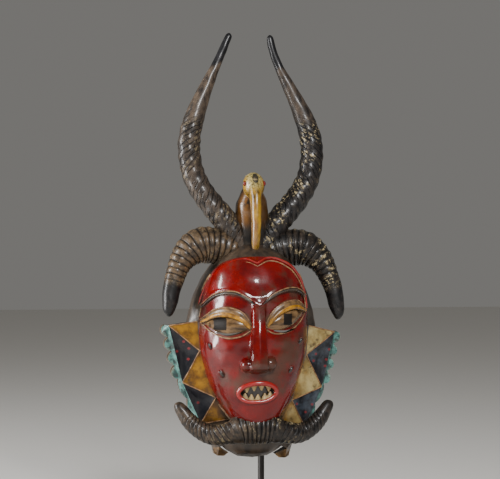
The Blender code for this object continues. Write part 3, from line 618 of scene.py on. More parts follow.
BEARD_BAND_GROOVES, BEARD_BAND, BEARD_STARTS, BEARD_GROOVES, BEARD_CARVED = 4.5, 0.21, 6, 20, 0.88


def tall_horn_line(side):
    """The line of a tall horn. The right one leans in a little over its upper part, as the carver left it."""
    if side < 0:
        return mirrored(TALL_HORN, side)
    return [(a - value_at(RIGHT_HORN_BEND, h), back, h, radius) for a, back, h, radius in TALL_HORN]


def groove(phase, narrow=3.0):
    """1 in the middle of a groove and 0 between grooves, once for each whole phase."""
    return abs(math.cos(math.pi * phase)) ** narrow


def broken(place, scale=1.0):
    """A slow change from 0 to 1 along and round a horn, which makes grooves deeper here and shallower there."""
    return 0.5 + 0.5 * noise.noise(Vector(place) * scale)


def tall_horn_relief(side):
    """A long ridge up the inner side and shallow waves, fading out towards the tip."""

    def relief(share, angle):
        fade = smooth_step(0.02, 0.08, share) * (1 - smooth_step(TALL_HORN_CARVED - 0.14, TALL_HORN_CARVED, share))
        place = (12 * share, 1.2 * math.cos(angle), side + 1.2 * math.sin(angle))
        wave = 0.035 * math.cos(math.tau * (TALL_HORN_GROOVES / 2 * share + side * angle / math.tau + broken(place)))
        keel = 0.05 * math.cos((angle - side * (1.1 + 3.2 * share)) / 2) ** 24
        return 1 - fade * (0.02 + wave - keel) - 0.03 * fade * broken(place, 6.0)

    return relief


def ram_horn_relief(share, angle):
    """Shallow grooves straight across, fading out before the smooth tip."""
    fade = 1 - smooth_step(RAM_HORN_CARVED - 0.10, RAM_HORN_CARVED, share)
    place = (9 * share, 1.5 * math.cos(angle), 1.5 * math.sin(angle))
    phase = RAM_HORN_RIBS * share / RAM_HORN_CARVED + 0.2 * broken(place)
    return 1 - fade * (0.055 * groove(phase, 2.2) + 0.015 * broken(place, 5.0))


def beard_horn_relief(side):
    """Upright grooves in the middle band, then shallow slanting waves, and a smoother tip."""

    def relief(share, angle):
        place = (8 * share, math.cos(angle), 3 + math.sin(angle))
        if share < BEARD_BAND:
            return 1 - 0.06 * groove(BEARD_BAND_GROOVES * share / BEARD_BAND + 0.25, 3.0)
        fade = smooth_step(BEARD_BAND, BEARD_BAND + 0.08, share) * (1 - smooth_step(0.74, BEARD_CARVED, share))
        phase = BEARD_GROOVES * share + side * angle / math.tau + 0.4 * broken(place)
        return 1 - fade * (0.04 * groove(phase, 1.6) + 0.015 * broken(place, 5.0))

    return relief


def horn_form(points, side, steps, sides, relief, slant, start=None):
    path = smooth_through(points, steps)
    if start is not None:
        path[0] = Vector((start * side, *path[0][1:]))
    bm = sweep(path, sides, relief)
    place_in_world(bm, slant, TREMBLE)
    return bm


for side, word in ((-1, "left"), (1, "right")):
    tall = horn_form(tall_horn_line(side), side, 12, 28, tall_horn_relief(side), HORN_SLANT)
    keep_form(f"tall_horn_{word}", tall, "tall_horn")
    ram = horn_form(mirrored(RAM_HORN, side), side, 13, 30, ram_horn_relief, HORN_SLANT)
    keep_form(f"ram_horn_{word}", ram, "ribbed_horn")
    beard = horn_form(mirrored(BEARD_HORN, side), side, 14, 30, beard_horn_relief(side), 0.0, start=-0.2)
    keep_form(f"beard_horn_{word}", beard, "ribbed_horn")

# %% [markdown]
# The bird leans its long beak over the forehead. Its body is a stout dark form between the horns, and its head is an
# egg with the beak swept down from it. The beak has flat sides, a ridge down the front and a line between its halves.

# %% The bird
BIRD_NECK = (
    (0, 1.5, 47.5, 4.2),
    (0, 1.3, 54.0, 4.0),
    (0, 0.8, 58.5, 3.8),
    (0, 0.2, 61.5, 3.0),
    (0, -0.4, 63.8, 1.8),
)
BIRD_HEAD_CENTRE, BIRD_HEAD_SIZE = (0, -2.0, 63.7), (2.6, 3.0, 3.3)
BIRD_BEAK = (
    (0, -2.6, 63.8, 1.9),
    (0, -4.8, 60.8, 1.5),
    (0, -5.7, 57.0, 1.3),
    (0, -5.6, 52.6, 1.15),
    (0, -4.9, 49.6, 0.95),
    (0, -4.6, 48.8, 0.55),
)
BIRD_HEAD_SIZE = (2.55, 2.9, 3.2)
BIRD_EYE_ASIDE, BIRD_EYE_HEIGHT, BIRD_EYE_Y = 2.25, 64.2, -3.2


def ellipsoid(centre, radii, segments, rings):
    bm = bmesh.new()
    bmesh.ops.create_uvsphere(bm, u_segments=segments, v_segments=rings, radius=1)
    bmesh.ops.scale(bm, vec=radii, verts=bm.verts)
    bmesh.ops.translate(bm, vec=centre, verts=bm.verts)
    place_in_world(bm, tremble=TREMBLE)
    return bm


def beak_relief(_, angle):
    """A rounded square with a ridge down its front and a groove between its halves on each side."""
    square = 1 / (abs(math.cos(angle)) ** 3 + abs(math.sin(angle)) ** 3) ** (1 / 3)
    ridge = 0.12 * max(0.0, math.cos(angle)) ** 10
    seam = 0.16 * bump_at(abs(math.remainder(angle, math.tau)), 1.75, 0.2)
    return 0.9 * square + ridge - seam


neck = sweep(smooth_through(BIRD_NECK, 8), 36, first_side=(0, -1, 0))
place_in_world(neck, tremble=2 * TREMBLE)
keep_form("bird_neck", neck, "bird_body")
keep_form("bird_head", ellipsoid(BIRD_HEAD_CENTRE, BIRD_HEAD_SIZE, 36, 24), "bird")
beak = sweep(smooth_through(BIRD_BEAK, 10), 28, beak_relief, flat=1.3, first_side=(0, -1, 0))
place_in_world(beak, tremble=TREMBLE)
keep_form("bird_beak", beak, "bird")
for side, word in ((-1, "left"), (1, "right")):
    centre = (side * BIRD_EYE_ASIDE, BIRD_EYE_Y, BIRD_EYE_HEIGHT)
    keep_form(f"bird_eye_{word}", ellipsoid(centre, (0.42, 0.6, 0.6), 14, 10), "red_lacquer")

# %% [markdown]
# The collar is folded like paper: flat triangles that alternate between ochre and blue-black, with the dark ones
# slightly dished, and a turquoise scalloped edge along the outside. It is made as one sheet of such triangles with
# a wall drawn back from its border into the head.

# %% The folded collar
FOLD_ROOTS = ((13.2, 31.5), (12.6, 24.7), (9.0, 14.0), (5.7, 9.2), (3.6, 4.5))
FOLD_POINTS = ((19.7, 30.2), (16.5, 17.1), (12.3, 7.6), (8.0, 2.4))
TAB = ((9.2, 1.9), (8.9, 0.5), (8.1, 0.05), (6.5, 0.05), (5.5, 0.9))
CORNER_REACH = (0.9, 0.1)
CURVED_BELOW = 25.0
ROOT_BENT_BACK, POINT_BENT_BACK = 0.08, 0.05
COLLAR_FRONT_AT_FACE, COLLAR_FRONT_AT_EDGE, COLLAR_BACK = -1.8, -0.2, 3.4
FRINGE_REACHES = (2.0, 1.2, 0.6)
SCALLOPS = (4, 2, 1)
FOLD_HOLLOW = 0.9
FRINGE_FRONT = 0.9
FOLD_PAINTS = (("ochre", "blue_black"), ("ochre", "blue_black"), ("ochre", "dark_wood"), ("dark_wood", "dark_wood"))
FRINGE_PAINTS = ("turquoise", "turquoise", "dark_wood")
FOLD_LINE = 0.14
STEPS_IN_SCALLOP = 7


def fringe_outline():
    """The scalloped edge: for each stretch between outer points, round bumps beyond its line."""
    outline = []
    for start, end, reach, count in zip(FOLD_POINTS, FOLD_POINTS[1:], FRINGE_REACHES, SCALLOPS):
        start, end = Vector(start), Vector(end)
        along = end - start
        out = Vector((-along.y, along.x)).normalized()
        for i in range(count):
            for step in range(STEPS_IN_SCALLOP):
                share = step / STEPS_IN_SCALLOP
                swell = 0.35 + 0.65 * math.sin(math.pi * share) ** 0.7
                outline.append(start + along * (i + share - 0.2) / count + out * reach * swell)
    return outline[1:]


def fold_face(bm, corners, paint, hollow=0.0):
    """One triangle of the collar. A dished one is poked in its middle."""
    flat = bm.faces.new(corners)
    flat.material_index = PAINT[paint]
    if hollow:
        centre = bmesh.ops.poke(bm, faces=[flat])["verts"][0]
        centre.co.y += hollow


def fold_depth(height, at_top, share):
    """How far back a corner of the collar lies. The folds come forward towards the chin."""
    return at_top - share * max(0.0, CURVED_BELOW - height)


def collar_form(side):
    """One side of the folded collar, with its back inside the head."""
    bm = bmesh.new()

    def corner(place, back):
        return bm.verts.new((side * place[0], back, place[1]))

    buried = [corner((max(0.3, a - 4.0), height + 0.4), COLLAR_FRONT_AT_FACE) for a, height in FOLD_ROOTS]
    roots = [corner((a, h), fold_depth(h, COLLAR_FRONT_AT_FACE, ROOT_BENT_BACK)) for a, h in FOLD_ROOTS]
    points = [corner((a, h), fold_depth(h, COLLAR_FRONT_AT_EDGE, POINT_BENT_BACK)) for a, h in FOLD_POINTS]
    first_corner = (FOLD_POINTS[0][0] + CORNER_REACH[0], FOLD_POINTS[0][1] + CORNER_REACH[1])
    lip = [corner(place, FRINGE_FRONT) for place in (first_corner, *fringe_outline(), *TAB)]
    ends = [0]
    for i, (start, end) in enumerate(zip(roots, roots[1:])):
        fold_face(bm, (start, points[i], end), FOLD_PAINTS[i][0])
        fold_face(bm, (buried[i], start, end, buried[i + 1]), "dark_wood")
    for i, (start, end) in enumerate(zip(points, points[1:])):
        fold_face(bm, (start, end, roots[i + 1]), FOLD_PAINTS[i][1], FOLD_HOLLOW)
        last = STEPS_IN_SCALLOP * sum(SCALLOPS[: i + 1])
        stretch = lip[ends[-1] : last + 1]
        half = len(stretch) // 2
        for around in ((start, *stretch[: half + 1]), (start, stretch[half], end), (end, *stretch[half:])):
            fold_face(bm, around, FRINGE_PAINTS[i])
        ends.append(last)
    fold_face(bm, (points[-1], *lip[ends[-1] :]), "lid_tan")
    border = [edge for edge in bm.edges if edge.is_boundary]
    skirt = bmesh.ops.extrude_edge_only(bm, edges=border)["geom"]
    for part in skirt:
        if isinstance(part, bmesh.types.BMVert):
            part.co.y = COLLAR_BACK
        elif isinstance(part, bmesh.types.BMFace):
            part.material_index = PAINT["dark_wood"]
    behind = [edge for edge in bm.edges if edge.is_boundary]
    bmesh.ops.contextual_create(bm, geom=behind, mat_nr=PAINT["dark_wood"])
    bmesh.ops.triangulate(bm, faces=bm.faces)
    bmesh.ops.subdivide_edges(bm, edges=bm.edges, cuts=3, use_grid_fill=True)
    bmesh.ops.triangulate(bm, faces=bm.faces)
    place_in_world(bm, COLLAR_SLANT, TREMBLE)
    return bm


def fold_lines(side):
    """The thin raised lines where two triangles of the collar meet."""
    roots = [(a, fold_depth(h, COLLAR_FRONT_AT_FACE, ROOT_BENT_BACK), h) for a, h in FOLD_ROOTS]
    points = [(a, fold_depth(h, COLLAR_FRONT_AT_EDGE, POINT_BENT_BACK), h) for a, h in FOLD_POINTS]
    for i, point in enumerate(points[:3]):
        for j in (i, i + 1):
            ends = [(side * a, back, height, FOLD_LINE) for a, back, height in (roots[j], point)]
            bm = sweep(ends, 6)
            bmesh.ops.subdivide_edges(bm, edges=[edge for edge in bm.edges if edge.calc_length() > 1], cuts=12)
            place_in_world(bm, COLLAR_SLANT, TREMBLE)
            yield f"{i}_{j}", bm


for side, word in ((-1, "left"), (1, "right")):
    keep_form(f"collar_{word}", collar_form(side))
    for name, line in fold_lines(side):
        keep_form(f"fold_line_{word}_{name}", line, "worn_edge")

# %% [markdown]
# The hollow is cut last, as the carver does, keeping the wall's true thickness behind the face. Two narrow slits
# under the eyes go right through, so that a wearer could see.

# %% The hollow and the slits
WALL_SHARE = WALL / U
HOLLOW_LOW = HEAD_LOW + WALL_SHARE + 2.4
HOLLOW_HIGH = FACE_HIGH - WALL_SHARE - 0.6
HOLLOW_HALF_WIDTH = FACE_HALF_WIDTH - WALL_SHARE
HOLLOW_FLARE = (HEAD_HALF_WIDTH - WALL_SHARE) / HOLLOW_HALF_WIDTH - 1
HOLLOW_MIDDLE = 28.0
HOLLOW_SIDE = ((0, 1.0), (50, 1.0))
SLIT = ((3.6, 30.2), (6.6, 29.75), (9.2, 30.35))


def hollow_front(height):
    """How far forward the hollow reaches at a height: the wall's thickness behind the face or the head."""
    front = value_at(HEAD_FRONT, height)
    if height > FACE_LOW:
        front = min(front, value_at(FACE_FRONT, height))
    return min(front + 1.15 * WALL_SHARE, 0.0)


def hollow_half_width(height):
    return HOLLOW_HALF_WIDTH * egg_width(height, HOLLOW_LOW, HOLLOW_MIDDLE, HOLLOW_HIGH, (2, 2), (2, 2))


steps = 12
heights = [HOLLOW_LOW + (HOLLOW_HIGH - HOLLOW_LOW) * i / steps for i in range(steps + 1)]
front = [(height, hollow_front(height)) for height in heights]
hollow = stack_of_sections(
    HOLLOW_LOW, HOLLOW_HIGH, hollow_half_width, front, HOLLOW_SIDE, rings=44, segments=64, flare=HOLLOW_FLARE
)
place_in_world(hollow, tremble=2 * TREMBLE)
keep_form("hollow", hollow, "bare_wood", cut=True)


def slit_cutter(side):
    """The narrow slit under an eye, cut right through the wall so that the wearer can see."""
    half = SLIT_HEIGHT / U / 2
    line = smooth_through([(*point, 0) for point in mirrored(SLIT, side)], 4)
    bm = bmesh.new()
    near, far = [], []
    for i, (across, height, _) in enumerate(line):
        share = i / (len(line) - 1)
        open_by = half * (0.35 + 0.65 * math.sin(math.pi * share))
        for row, lift in ((near, 2.5), (far, -3.2 * WALL_SHARE)):
            place = on_face(across, height, 0.0) + Vector((0, -lift, 0))
            up = Vector((0, 0, open_by))
            row.append((bm.verts.new(place + up), bm.verts.new(place - up)))
    for i in range(len(line) - 1):
        (a, b), (c, d) = near[i], near[i + 1]
        (e, f), (g, h) = far[i], far[i + 1]
        bm.faces.new((a, b, d, c))
        bm.faces.new((e, g, h, f))
        bm.faces.new((a, c, g, e))
        bm.faces.new((b, f, h, d))
    for (a, b), (e, f) in ((near[0], far[0]), (near[-1], far[-1])):
        bm.faces.new((a, e, f, b))
    place_in_world(bm, FACE_SLANT)
    return bm


for side, word in ((-1, "left"), (1, "right")):
    keep_form(f"slit_{word}", slit_cutter(side), "bare_wood", cut=True)

# %% [markdown]
# One exact Boolean joins all the forms, and a second takes the hollow away. The result is baked to a plain mesh, so
# nothing is left for the modifiers to compute.

# %% One block of wood
for name, operation, forms in (("join", "UNION", joined), ("hollow_out", "DIFFERENCE", removed)):
    step = shell.modifiers.new(name, "BOOLEAN")
    step.operation = operation
    step.operand_type = "COLLECTION"
    step.collection = forms
    step.solver = "EXACT"
joined.objects.unlink(shell)
bpy.context.scene.collection.objects.link(shell)
bpy.context.view_layer.update()
carved = bpy.data.meshes.new_from_object(shell.evaluated_get(bpy.context.evaluated_depsgraph_get()))
for form in [*joined.objects, *removed.objects, shell]:
    bpy.data.objects.remove(form)
for collection in (joined, removed):
    bpy.data.collections.remove(collection)
mask = bpy.data.objects.new("carved_mask", carved)
bpy.context.scene.collection.objects.link(mask)
whole = bmesh.new()
whole.from_mesh(carved)
bmesh.ops.remove_doubles(whole, verts=whole.verts, dist=0.00002)
bmesh.ops.dissolve_degenerate(whole, edges=whole.edges, dist=0.00002)
triangles = sum(len(face.verts) - 2 for face in whole.faces)
open_edges = sum(1 for edge in whole.edges if not edge.is_manifold)
print("carved mask:", len(whole.verts), "points,", triangles, "triangles,", open_edges, "open edges")
whole.to_mesh(carved)

# %% [markdown]
# Two facts about each point of the carving guide the paint: how closed in it is, where dust and old wax gather, and
# how exposed it is, where hands have rubbed the paint away. The first is found with short rays, the second from how
# the surface bends.

# %% Where dust gathers and where paint wears
DUST_REACH = 0.011
DUST_RAYS = 14


def neighbour_mean(values, pairs, degree):
    """Each point's mean over its neighbours."""
    total = np.zeros_like(values)
    np.add.at(total, pairs[:, 0], values[pairs[:, 1]])
    np.add.at(total, pairs[:, 1], values[pairs[:, 0]])
    return total / degree


CAD_HALF_WIDTH, CAD_TOP = 0.1089, 0.6236


def closed_in(mesh, bm):
    """The share of short rays from each point that hit the carving again."""
    tree = BVHTree.FromBMesh(bm)
    golden = math.pi * (3 - math.sqrt(5))
    rays = []
    for i in range(DUST_RAYS):
        rise = 1 - (i + 0.5) / DUST_RAYS * 0.85
        rays.append(Vector((math.cos(golden * i), math.sin(golden * i), 0)) * math.sqrt(1 - rise * rise) + Vector((0, 0, rise)))
    found = np.zeros(len(mesh.vertices))
    for vert in mesh.vertices:
        turn = vert.normal.to_track_quat("Z", "X")
        start = vert.co + 0.0004 * vert.normal
        found[vert.index] = sum(tree.ray_cast(start, turn @ ray, DUST_REACH)[0] is not None for ray in rays) / DUST_RAYS
    return found


for vert in carved.vertices:
    vert.co.x = max(-CAD_HALF_WIDTH, min(CAD_HALF_WIDTH, vert.co.x))
    vert.co.z = min(CAD_TOP, vert.co.z)
points = np.array([vert.co for vert in carved.vertices])
normals = np.array([vert.normal for vert in carved.vertices])
pairs = np.array([edge.vertices[:] for edge in carved.edges])
degree = np.maximum(np.bincount(pairs.ravel(), minlength=len(points)), 1)
length = np.linalg.norm(points[pairs[:, 0]] - points[pairs[:, 1]], axis=1)
reach = np.zeros(len(points))
np.add.at(reach, pairs[:, 0], length)
np.add.at(reach, pairs[:, 1], length)
reach /= degree
towards = np.stack([neighbour_mean(points[:, axis], pairs, degree) for axis in range(3)], axis=1) - points
bend = -(towards * normals).sum(axis=1) / np.maximum(reach, 1e-5)
for _ in range(2):
    bend = 0.5 * bend + 0.5 * neighbour_mean(bend, pairs, degree)
dust = closed_in(carved, whole)
on_flat_back = points[:, 1] > points[:, 1].max() - 0.001
bend[on_flat_back], dust[on_flat_back] = 0.0, 0.2
for _ in range(2):
    dust = 0.5 * dust + 0.5 * neighbour_mean(dust, pairs, degree)
whole.free()
for name, values in (("dust", dust), ("bend", bend)):
    carved.attributes.new(name, "FLOAT", "POINT").data.foreach_set("value", values.astype(np.float32))
print("dust", np.percentile(dust, [5, 50, 95]).round(3), "bend", np.percentile(bend, [5, 50, 95]).round(4))

# %% [markdown]
# Shader maths reads best as plain expressions. One small class wraps a node's output and adds Math nodes for the
# usual operators, and one method makes any other node. Colours are mixed with Mix nodes, because a Math node would
# turn them grey.

# %% A way to write shaders
class Value:
    """A number that varies over a surface."""

    def __init__(self, finish, socket):
        self.finish, self.socket = finish, socket

    def math(self, operation, first, second, clamp=False):
        return self.finish.node("ShaderNodeMath", {"operation": operation, "use_clamp": clamp}, {0: first, 1: second})

    def __add__(self, other):
        return self.math("ADD", self, other)

    def __sub__(self, other):
        return self.math("SUBTRACT", self, other)

    def __rsub__(self, other):
        return self.math("SUBTRACT", other, self)

    def __mul__(self, other):
        return self.math("MULTIPLY", self, other)

    __radd__, __rmul__ = __add__, __mul__

    def near_whole(self, width):
        """1 where the value is a whole number, falling to 0 at width from it."""
        return self.math("PINGPONG", self, 0.5).within(width, 0)

    def within(self, low, high):
        """Rises smoothly from 0 at low to 1 at high, or falls where low is the higher."""
        settings = {"interpolation_type": "SMOOTHSTEP"}
        if low > high:
            return 1 - self.within(high, low)
        return self.finish.node("ShaderNodeMapRange", settings, {"Value": self, "From Min": low, "From Max": high})


class Finish:
    """A material, and the ways to vary it over a surface."""

    def __init__(self, name):
        self.material = bpy.data.materials.get(name) or bpy.data.materials.new(name)
        self.material.use_nodes = True
        self.tree = self.material.node_tree
        self.shader = self.tree.nodes["Principled BSDF"]
        place = self.node("ShaderNodeTexCoord", out="Object")
        parts = self.node("ShaderNodeSeparateXYZ", {}, {0: place}, out=None)
        self.place = place
        self.x, self.y, self.z = (Value(self, parts.outputs[axis]) for axis in "XYZ")

    def node(self, kind, settings=None, inputs=None, out=0):
        made = self.tree.nodes.new(kind)
        for name, value in (settings or {}).items():
            setattr(made, name, value)
        for name, value in (inputs or {}).items():
            if isinstance(value, Value):
                self.tree.links.new(value.socket, made.inputs[name])
            else:
                made.inputs[name].default_value = (*value, 1.0) if isinstance(value, tuple) and len(value) == 3 else value
        return made if out is None else Value(self, made.outputs[out])

    def noise(self, scale, detail=3.0, rough=0.55, stretch=None):
        """Cloudy noise from 0 to 1 with features about 1 / scale metres across, drawn out along an axis by stretch."""
        place = self.place
        if stretch is not None:
            place = self.node("ShaderNodeVectorMath", {"operation": "MULTIPLY"}, {0: place, 1: Vector(stretch)})
        inputs = {"Vector": place, "Scale": scale, "Detail": detail, "Roughness": rough}
        return self.node("ShaderNodeTexNoise", {}, inputs)

    def stored(self, name):
        return self.node("ShaderNodeAttribute", {"attribute_name": name}, out="Fac")

    def winding(self):
        """How far along a horn a point is, and how far round it, each from 0 to 1."""
        place = self.node("ShaderNodeUVMap", {"uv_map": "winding"})
        parts = self.node("ShaderNodeSeparateXYZ", {}, {0: place}, out=None)
        return Value(self, parts.outputs["X"]), Value(self, parts.outputs["Y"])

    def mix(self, first, second, share):
        """A colour between two colours."""
        return self.node("ShaderNodeMix", {"data_type": "RGBA"}, {0: share, 6: first, 7: second}, out=2)

    def spot(self, centre, size, soft=0.25):
        """1 inside an oval on the front of the mask and 0 outside. Centre and size are (across, up), in metres."""
        across = (self.x - centre[0]) * (1 / size[0])
        up = (self.z - centre[1]) * (1 / size[1])
        return (across * across + up * up).within(1 + soft, 1 - soft)

    def bump(self, height, distance, strength=1.0):
        inputs = {"Height": height, "Distance": distance, "Strength": strength}
        normal = self.node("ShaderNodeBump", {}, inputs, out="Normal")
        self.tree.links.new(normal.socket, self.shader.inputs["Normal"])

    def use(self, **sockets):
        for name, value in sockets.items():
            socket = self.shader.inputs[name.replace("_", " ")]
            if isinstance(value, Value):
                self.tree.links.new(value.socket, socket)
            else:
                socket.default_value = (*value, 1.0) if isinstance(value, tuple) else value


print("a finish can vary", len(Finish("trial").shader.inputs), "sockets")
bpy.data.materials.remove(bpy.data.materials["trial"])

# %% [markdown]
# Every paint on the mask ages in the same ways. It was brushed on unevenly, hands have rubbed it off the edges down
# to pale wood, and dust and old wax have settled in the recesses and dulled it there. One function lays those three
# over any ground colour, so each paint only says its own colours and how far each effect has gone.

# %% How paint ages
DUST = (0.085, 0.058, 0.036)
PALE_WOOD = (0.42, 0.27, 0.13)


def aged(finish, ground, rub=0.7, rub_at=(0.10, 0.26), rubbed=PALE_WOOD, soil=0.8, soil_at=(0.22, 0.62), soiled=DUST):
    """Lays wear and dust over a ground colour, and returns the colour and where the dust lies."""
    patchy = finish.noise(130, 4, 0.6)
    bare = (finish.stored("bend") + (patchy - 0.5) * 0.22).within(*rub_at) * rub
    dusty = (finish.stored("dust") + (finish.noise(75, 4) - 0.5) * 0.5).within(*soil_at) * soil
    return finish.mix(finish.mix(ground, rubbed, bare), soiled, dusty), dusty, bare


# %% [markdown]
# The face's lacquer is a deep red, darker where it pooled, with fine black specks and a brownish film over the
# cheeks. Over the right cheek, the side away from the light, the film is laid on thicker as painted shade. It is the
# glossiest paint here, so it gets a clear coat over the colour.

# %% Red lacquer
def red_lacquer():
    finish = Finish("red_lacquer")
    ground = finish.mix((0.045, 0.0005, 0.0006), (0.165, 0.0012, 0.0010), finish.noise(28, 4, 0.6).within(0.25, 0.75))
    middle = finish.spot((0.000, MASK_Z + 20.0 * U), (0.038, 0.026), soft=0.9)
    # The spot on the right cheek thickens the brown film there as painted shade, on the side away from the light.
    right_cheek_shade = finish.spot((0.032, MASK_Z + 25.5 * U), (0.026, 0.024), soft=0.9)
    film_and_shade = (finish.noise(46, 6, 0.68) * finish.noise(11, 2) + middle * 0.16 + right_cheek_shade * 0.10).within(0.27, 0.42)
    ground = finish.mix(ground, (0.050, 0.026, 0.014), film_and_shade * 0.8)
    specks = finish.noise(700, 2).within(0.62, 0.70) * finish.noise(40, 2).within(0.40, 0.60)
    ground = finish.mix(ground, (0.012, 0.003, 0.003), specks * 0.8)
    colour, dusty, bare = aged(
        finish, ground, rub=0.75, rub_at=(0.14, 0.34), rubbed=(0.30, 0.060, 0.025), soil=0.8, soil_at=(0.28, 0.70)
    )
    finish.use(Base_Color=colour, Roughness=0.27 + dusty * 0.4 + film_and_shade * 0.2 + bare * 0.1)
    finish.use(Coat_Weight=(1 - dusty) * 0.5, Coat_Roughness=0.08, Specular_IOR_Level=0.2)
    finish.bump(finish.noise(60, 3) + finish.noise(420, 3) * 0.12, 0.0006, 0.5)
    return finish.material


def lip_red():
    finish = Finish("lip")
    ground = finish.mix((0.14, 0.002, 0.002), (0.36, 0.008, 0.005), finish.noise(90, 3))
    colour, dusty, bare = aged(finish, ground, rub=0.55, rub_at=(0.14, 0.40), rubbed=(0.42, 0.12, 0.06), soil=0.6)
    finish.use(Base_Color=colour, Roughness=0.34 + dusty * 0.3, Coat_Weight=(1 - dusty) * 0.5, Coat_Roughness=0.15)
    finish.bump(finish.noise(300, 3), 0.0005, 0.4)
    return finish.material


for made in (red_lacquer(), lip_red()):
    print(made.name, len(made.node_tree.nodes), "nodes")

# %% [markdown]
# The horns are stained nearly black and then rubbed, so the ridges show brown, and black wax lies in the grooves. The
# cream flecks on the ridges are partly worn paint and partly painted glints. The grooves are drawn here too, from the
# winding that the sweep stored, because paint gathers along them. The tall horns have a greyish brown stretch below
# their black tips, and the ribbed horns are browner on the left.

# %% Horns
BLACK_WAX, CREAM = (0.003, 0.003, 0.0035), (0.44, 0.35, 0.19)


def horn_paint(finish, ground, groove, ridge, flecked, rub, rubbed, depth):
    """Lays black in the grooves and cream flecks along the ridges between them, then age over all."""
    # The cream flecks on the ridges are partly worn paint and partly painted glints.
    flecks_and_glints = ridge * finish.noise(230, 4, 0.7).within(0.52, 0.60) * finish.noise(38, 2).within(0.47, 0.62) * flecked
    ground = finish.mix(finish.mix(ground, CREAM, flecks_and_glints * 0.9), BLACK_WAX, groove * 0.9)
    colour, dusty, bare = aged(finish, ground, rub, (0.08, 0.30), rubbed, soil=0.35, soil_at=(0.3, 0.8))
    finish.use(Base_Color=colour, Roughness=0.45 + dusty * 0.3 + flecks_and_glints * 0.2, Specular_IOR_Level=0.3)
    finish.use(Coat_Weight=(1 - groove) * 0.16, Coat_Roughness=0.16)
    finish.bump(finish.noise(170, 4) * 0.25 + finish.noise(600, 2) * 0.08 + flecks_and_glints * 0.15 - groove, depth, 0.8)
    return finish.material


def tall_horn_finish():
    finish = Finish("tall_horn")
    along, around = finish.winding()
    side = finish.x.within(-0.001, 0.001) * 2 - 1
    grain = finish.noise(170, 4, 0.6, stretch=(1, 1, 0.35))
    brown = finish.mix((0.016, 0.012, 0.010), (0.105, 0.074, 0.050), grain.within(0.32, 0.72))
    black = finish.mix((0.0030, 0.0030, 0.0040), (0.020, 0.018, 0.020), grain.within(0.45, 0.85))
    height = finish.z + (finish.noise(20, 2) - 0.5) * 0.05
    tip_start = 0.586 - finish.x.within(-0.01, 0.01) * 0.012
    middle = height.within(0.510, 0.530) * (height - tip_start).within(0.003, -0.003)
    left = (finish.x + (finish.noise(30, 2) - 0.5) * 0.05).within(0.01, -0.01)
    above = (height - tip_start).within(-0.003, 0.003)
    ground = finish.mix(black, brown, (0.15 + left * 0.45 + middle * 0.5) * (1 - above))
    phase = along * TALL_HORN_GROOVES + side * around * TALL_HORN_STARTS + (finish.noise(38, 2) - 0.5) * 1.5
    carved_here = along.within(0.02, 0.06) * along.within(TALL_HORN_CARVED, TALL_HORN_CARVED - 0.12)
    groove = phase.near_whole(0.2) * carved_here * finish.noise(70, 3).within(0.36, 0.54)
    inward = (side * (around - 0.5)) + 0.5
    keel = (inward - 0.19 - along * 0.5).near_whole(0.022) * along.within(0.42, 0.34)
    ridge = (1 - phase.near_whole(0.36) + keel * 1.5) * carved_here
    rub = (1 - above) * 0.65
    return horn_paint(finish, ground, groove * (1 - keel), ridge, 1 - left * 0.65, rub, (0.20, 0.15, 0.095), 0.0011)


def ribbed_horn_finish():
    finish = Finish("ribbed_horn")
    along, around = finish.winding()
    grain = finish.noise(150, 4, 0.6)
    black = finish.mix((0.0030, 0.0030, 0.0035), (0.026, 0.021, 0.019), grain.within(0.40, 0.80))
    brown = finish.mix((0.022, 0.015, 0.010), (0.135, 0.085, 0.043), grain.within(0.3, 0.7))
    left = (finish.x + (finish.noise(30, 2) - 0.5) * 0.05).within(0.02, -0.02)
    upper = finish.z.within(0.25, 0.27)
    tip = upper * along.within(RAM_HORN_CARVED - 0.02, RAM_HORN_CARVED + 0.06)
    ground = finish.mix(black, brown, (0.1 + left * 0.25 + left * upper * 0.5) * (1 - tip))
    rings = along * (RAM_HORN_RIBS / RAM_HORN_CARVED)
    wander = (finish.noise(38, 2) - 0.5) * 0.8
    band = along * (BEARD_BAND_GROOVES / BEARD_BAND) + 0.25
    side = finish.x.within(-0.001, 0.001) * 2 - 1
    slanting = along * BEARD_GROOVES + side * around * BEARD_STARTS + wander
    beyond = along.within(BEARD_BAND + 0.02, BEARD_BAND + 0.08) * along.within(BEARD_CARVED, BEARD_CARVED - 0.15)
    in_band = along.within(BEARD_BAND + 0.02, BEARD_BAND)
    beard_groove = band.near_whole(0.2) * in_band + slanting.near_whole(0.22) * beyond
    ring_groove = (rings + wander * 0.3).near_whole(0.2) * (1 - tip)
    broken_off = finish.noise(80, 3).within(0.30, 0.48)
    groove = (ring_groove * upper + beard_groove * (1 - upper)) * broken_off
    ridge = (1 - groove) * (1 - tip) * (upper + (1 - upper) * (beyond + in_band))
    return horn_paint(finish, ground, groove, ridge, 1 - left * 0.7, 0.55, (0.20, 0.135, 0.075), 0.0010)


for made in (tall_horn_finish(), ribbed_horn_finish()):
    print(made.name, len(made.node_tree.nodes), "nodes")

# %% [markdown]
# The collar's ochre is stained brown and rubbed pale along the folds, more so on the right. Its dark triangles are
# blue-black with a few small red dots, and the scalloped edge is turquoise over black.

# %% The collar's paints
DOT_SIZE = (0.0017, 0.0016)
DOTS = {
    -1: ((16.3, 27.4), (15.1, 25.8), (15.2, 23.3), (17.8, 25.1), (12.9, 13.1)),
    1: ((18.4, 25.2), (17.7, 22.8), (17.4, 21.3), (15.1, 24.2), (14.5, 22.6), (10.3, 12.6), (14.2, 12.3), (12.6, 10.5)),
}


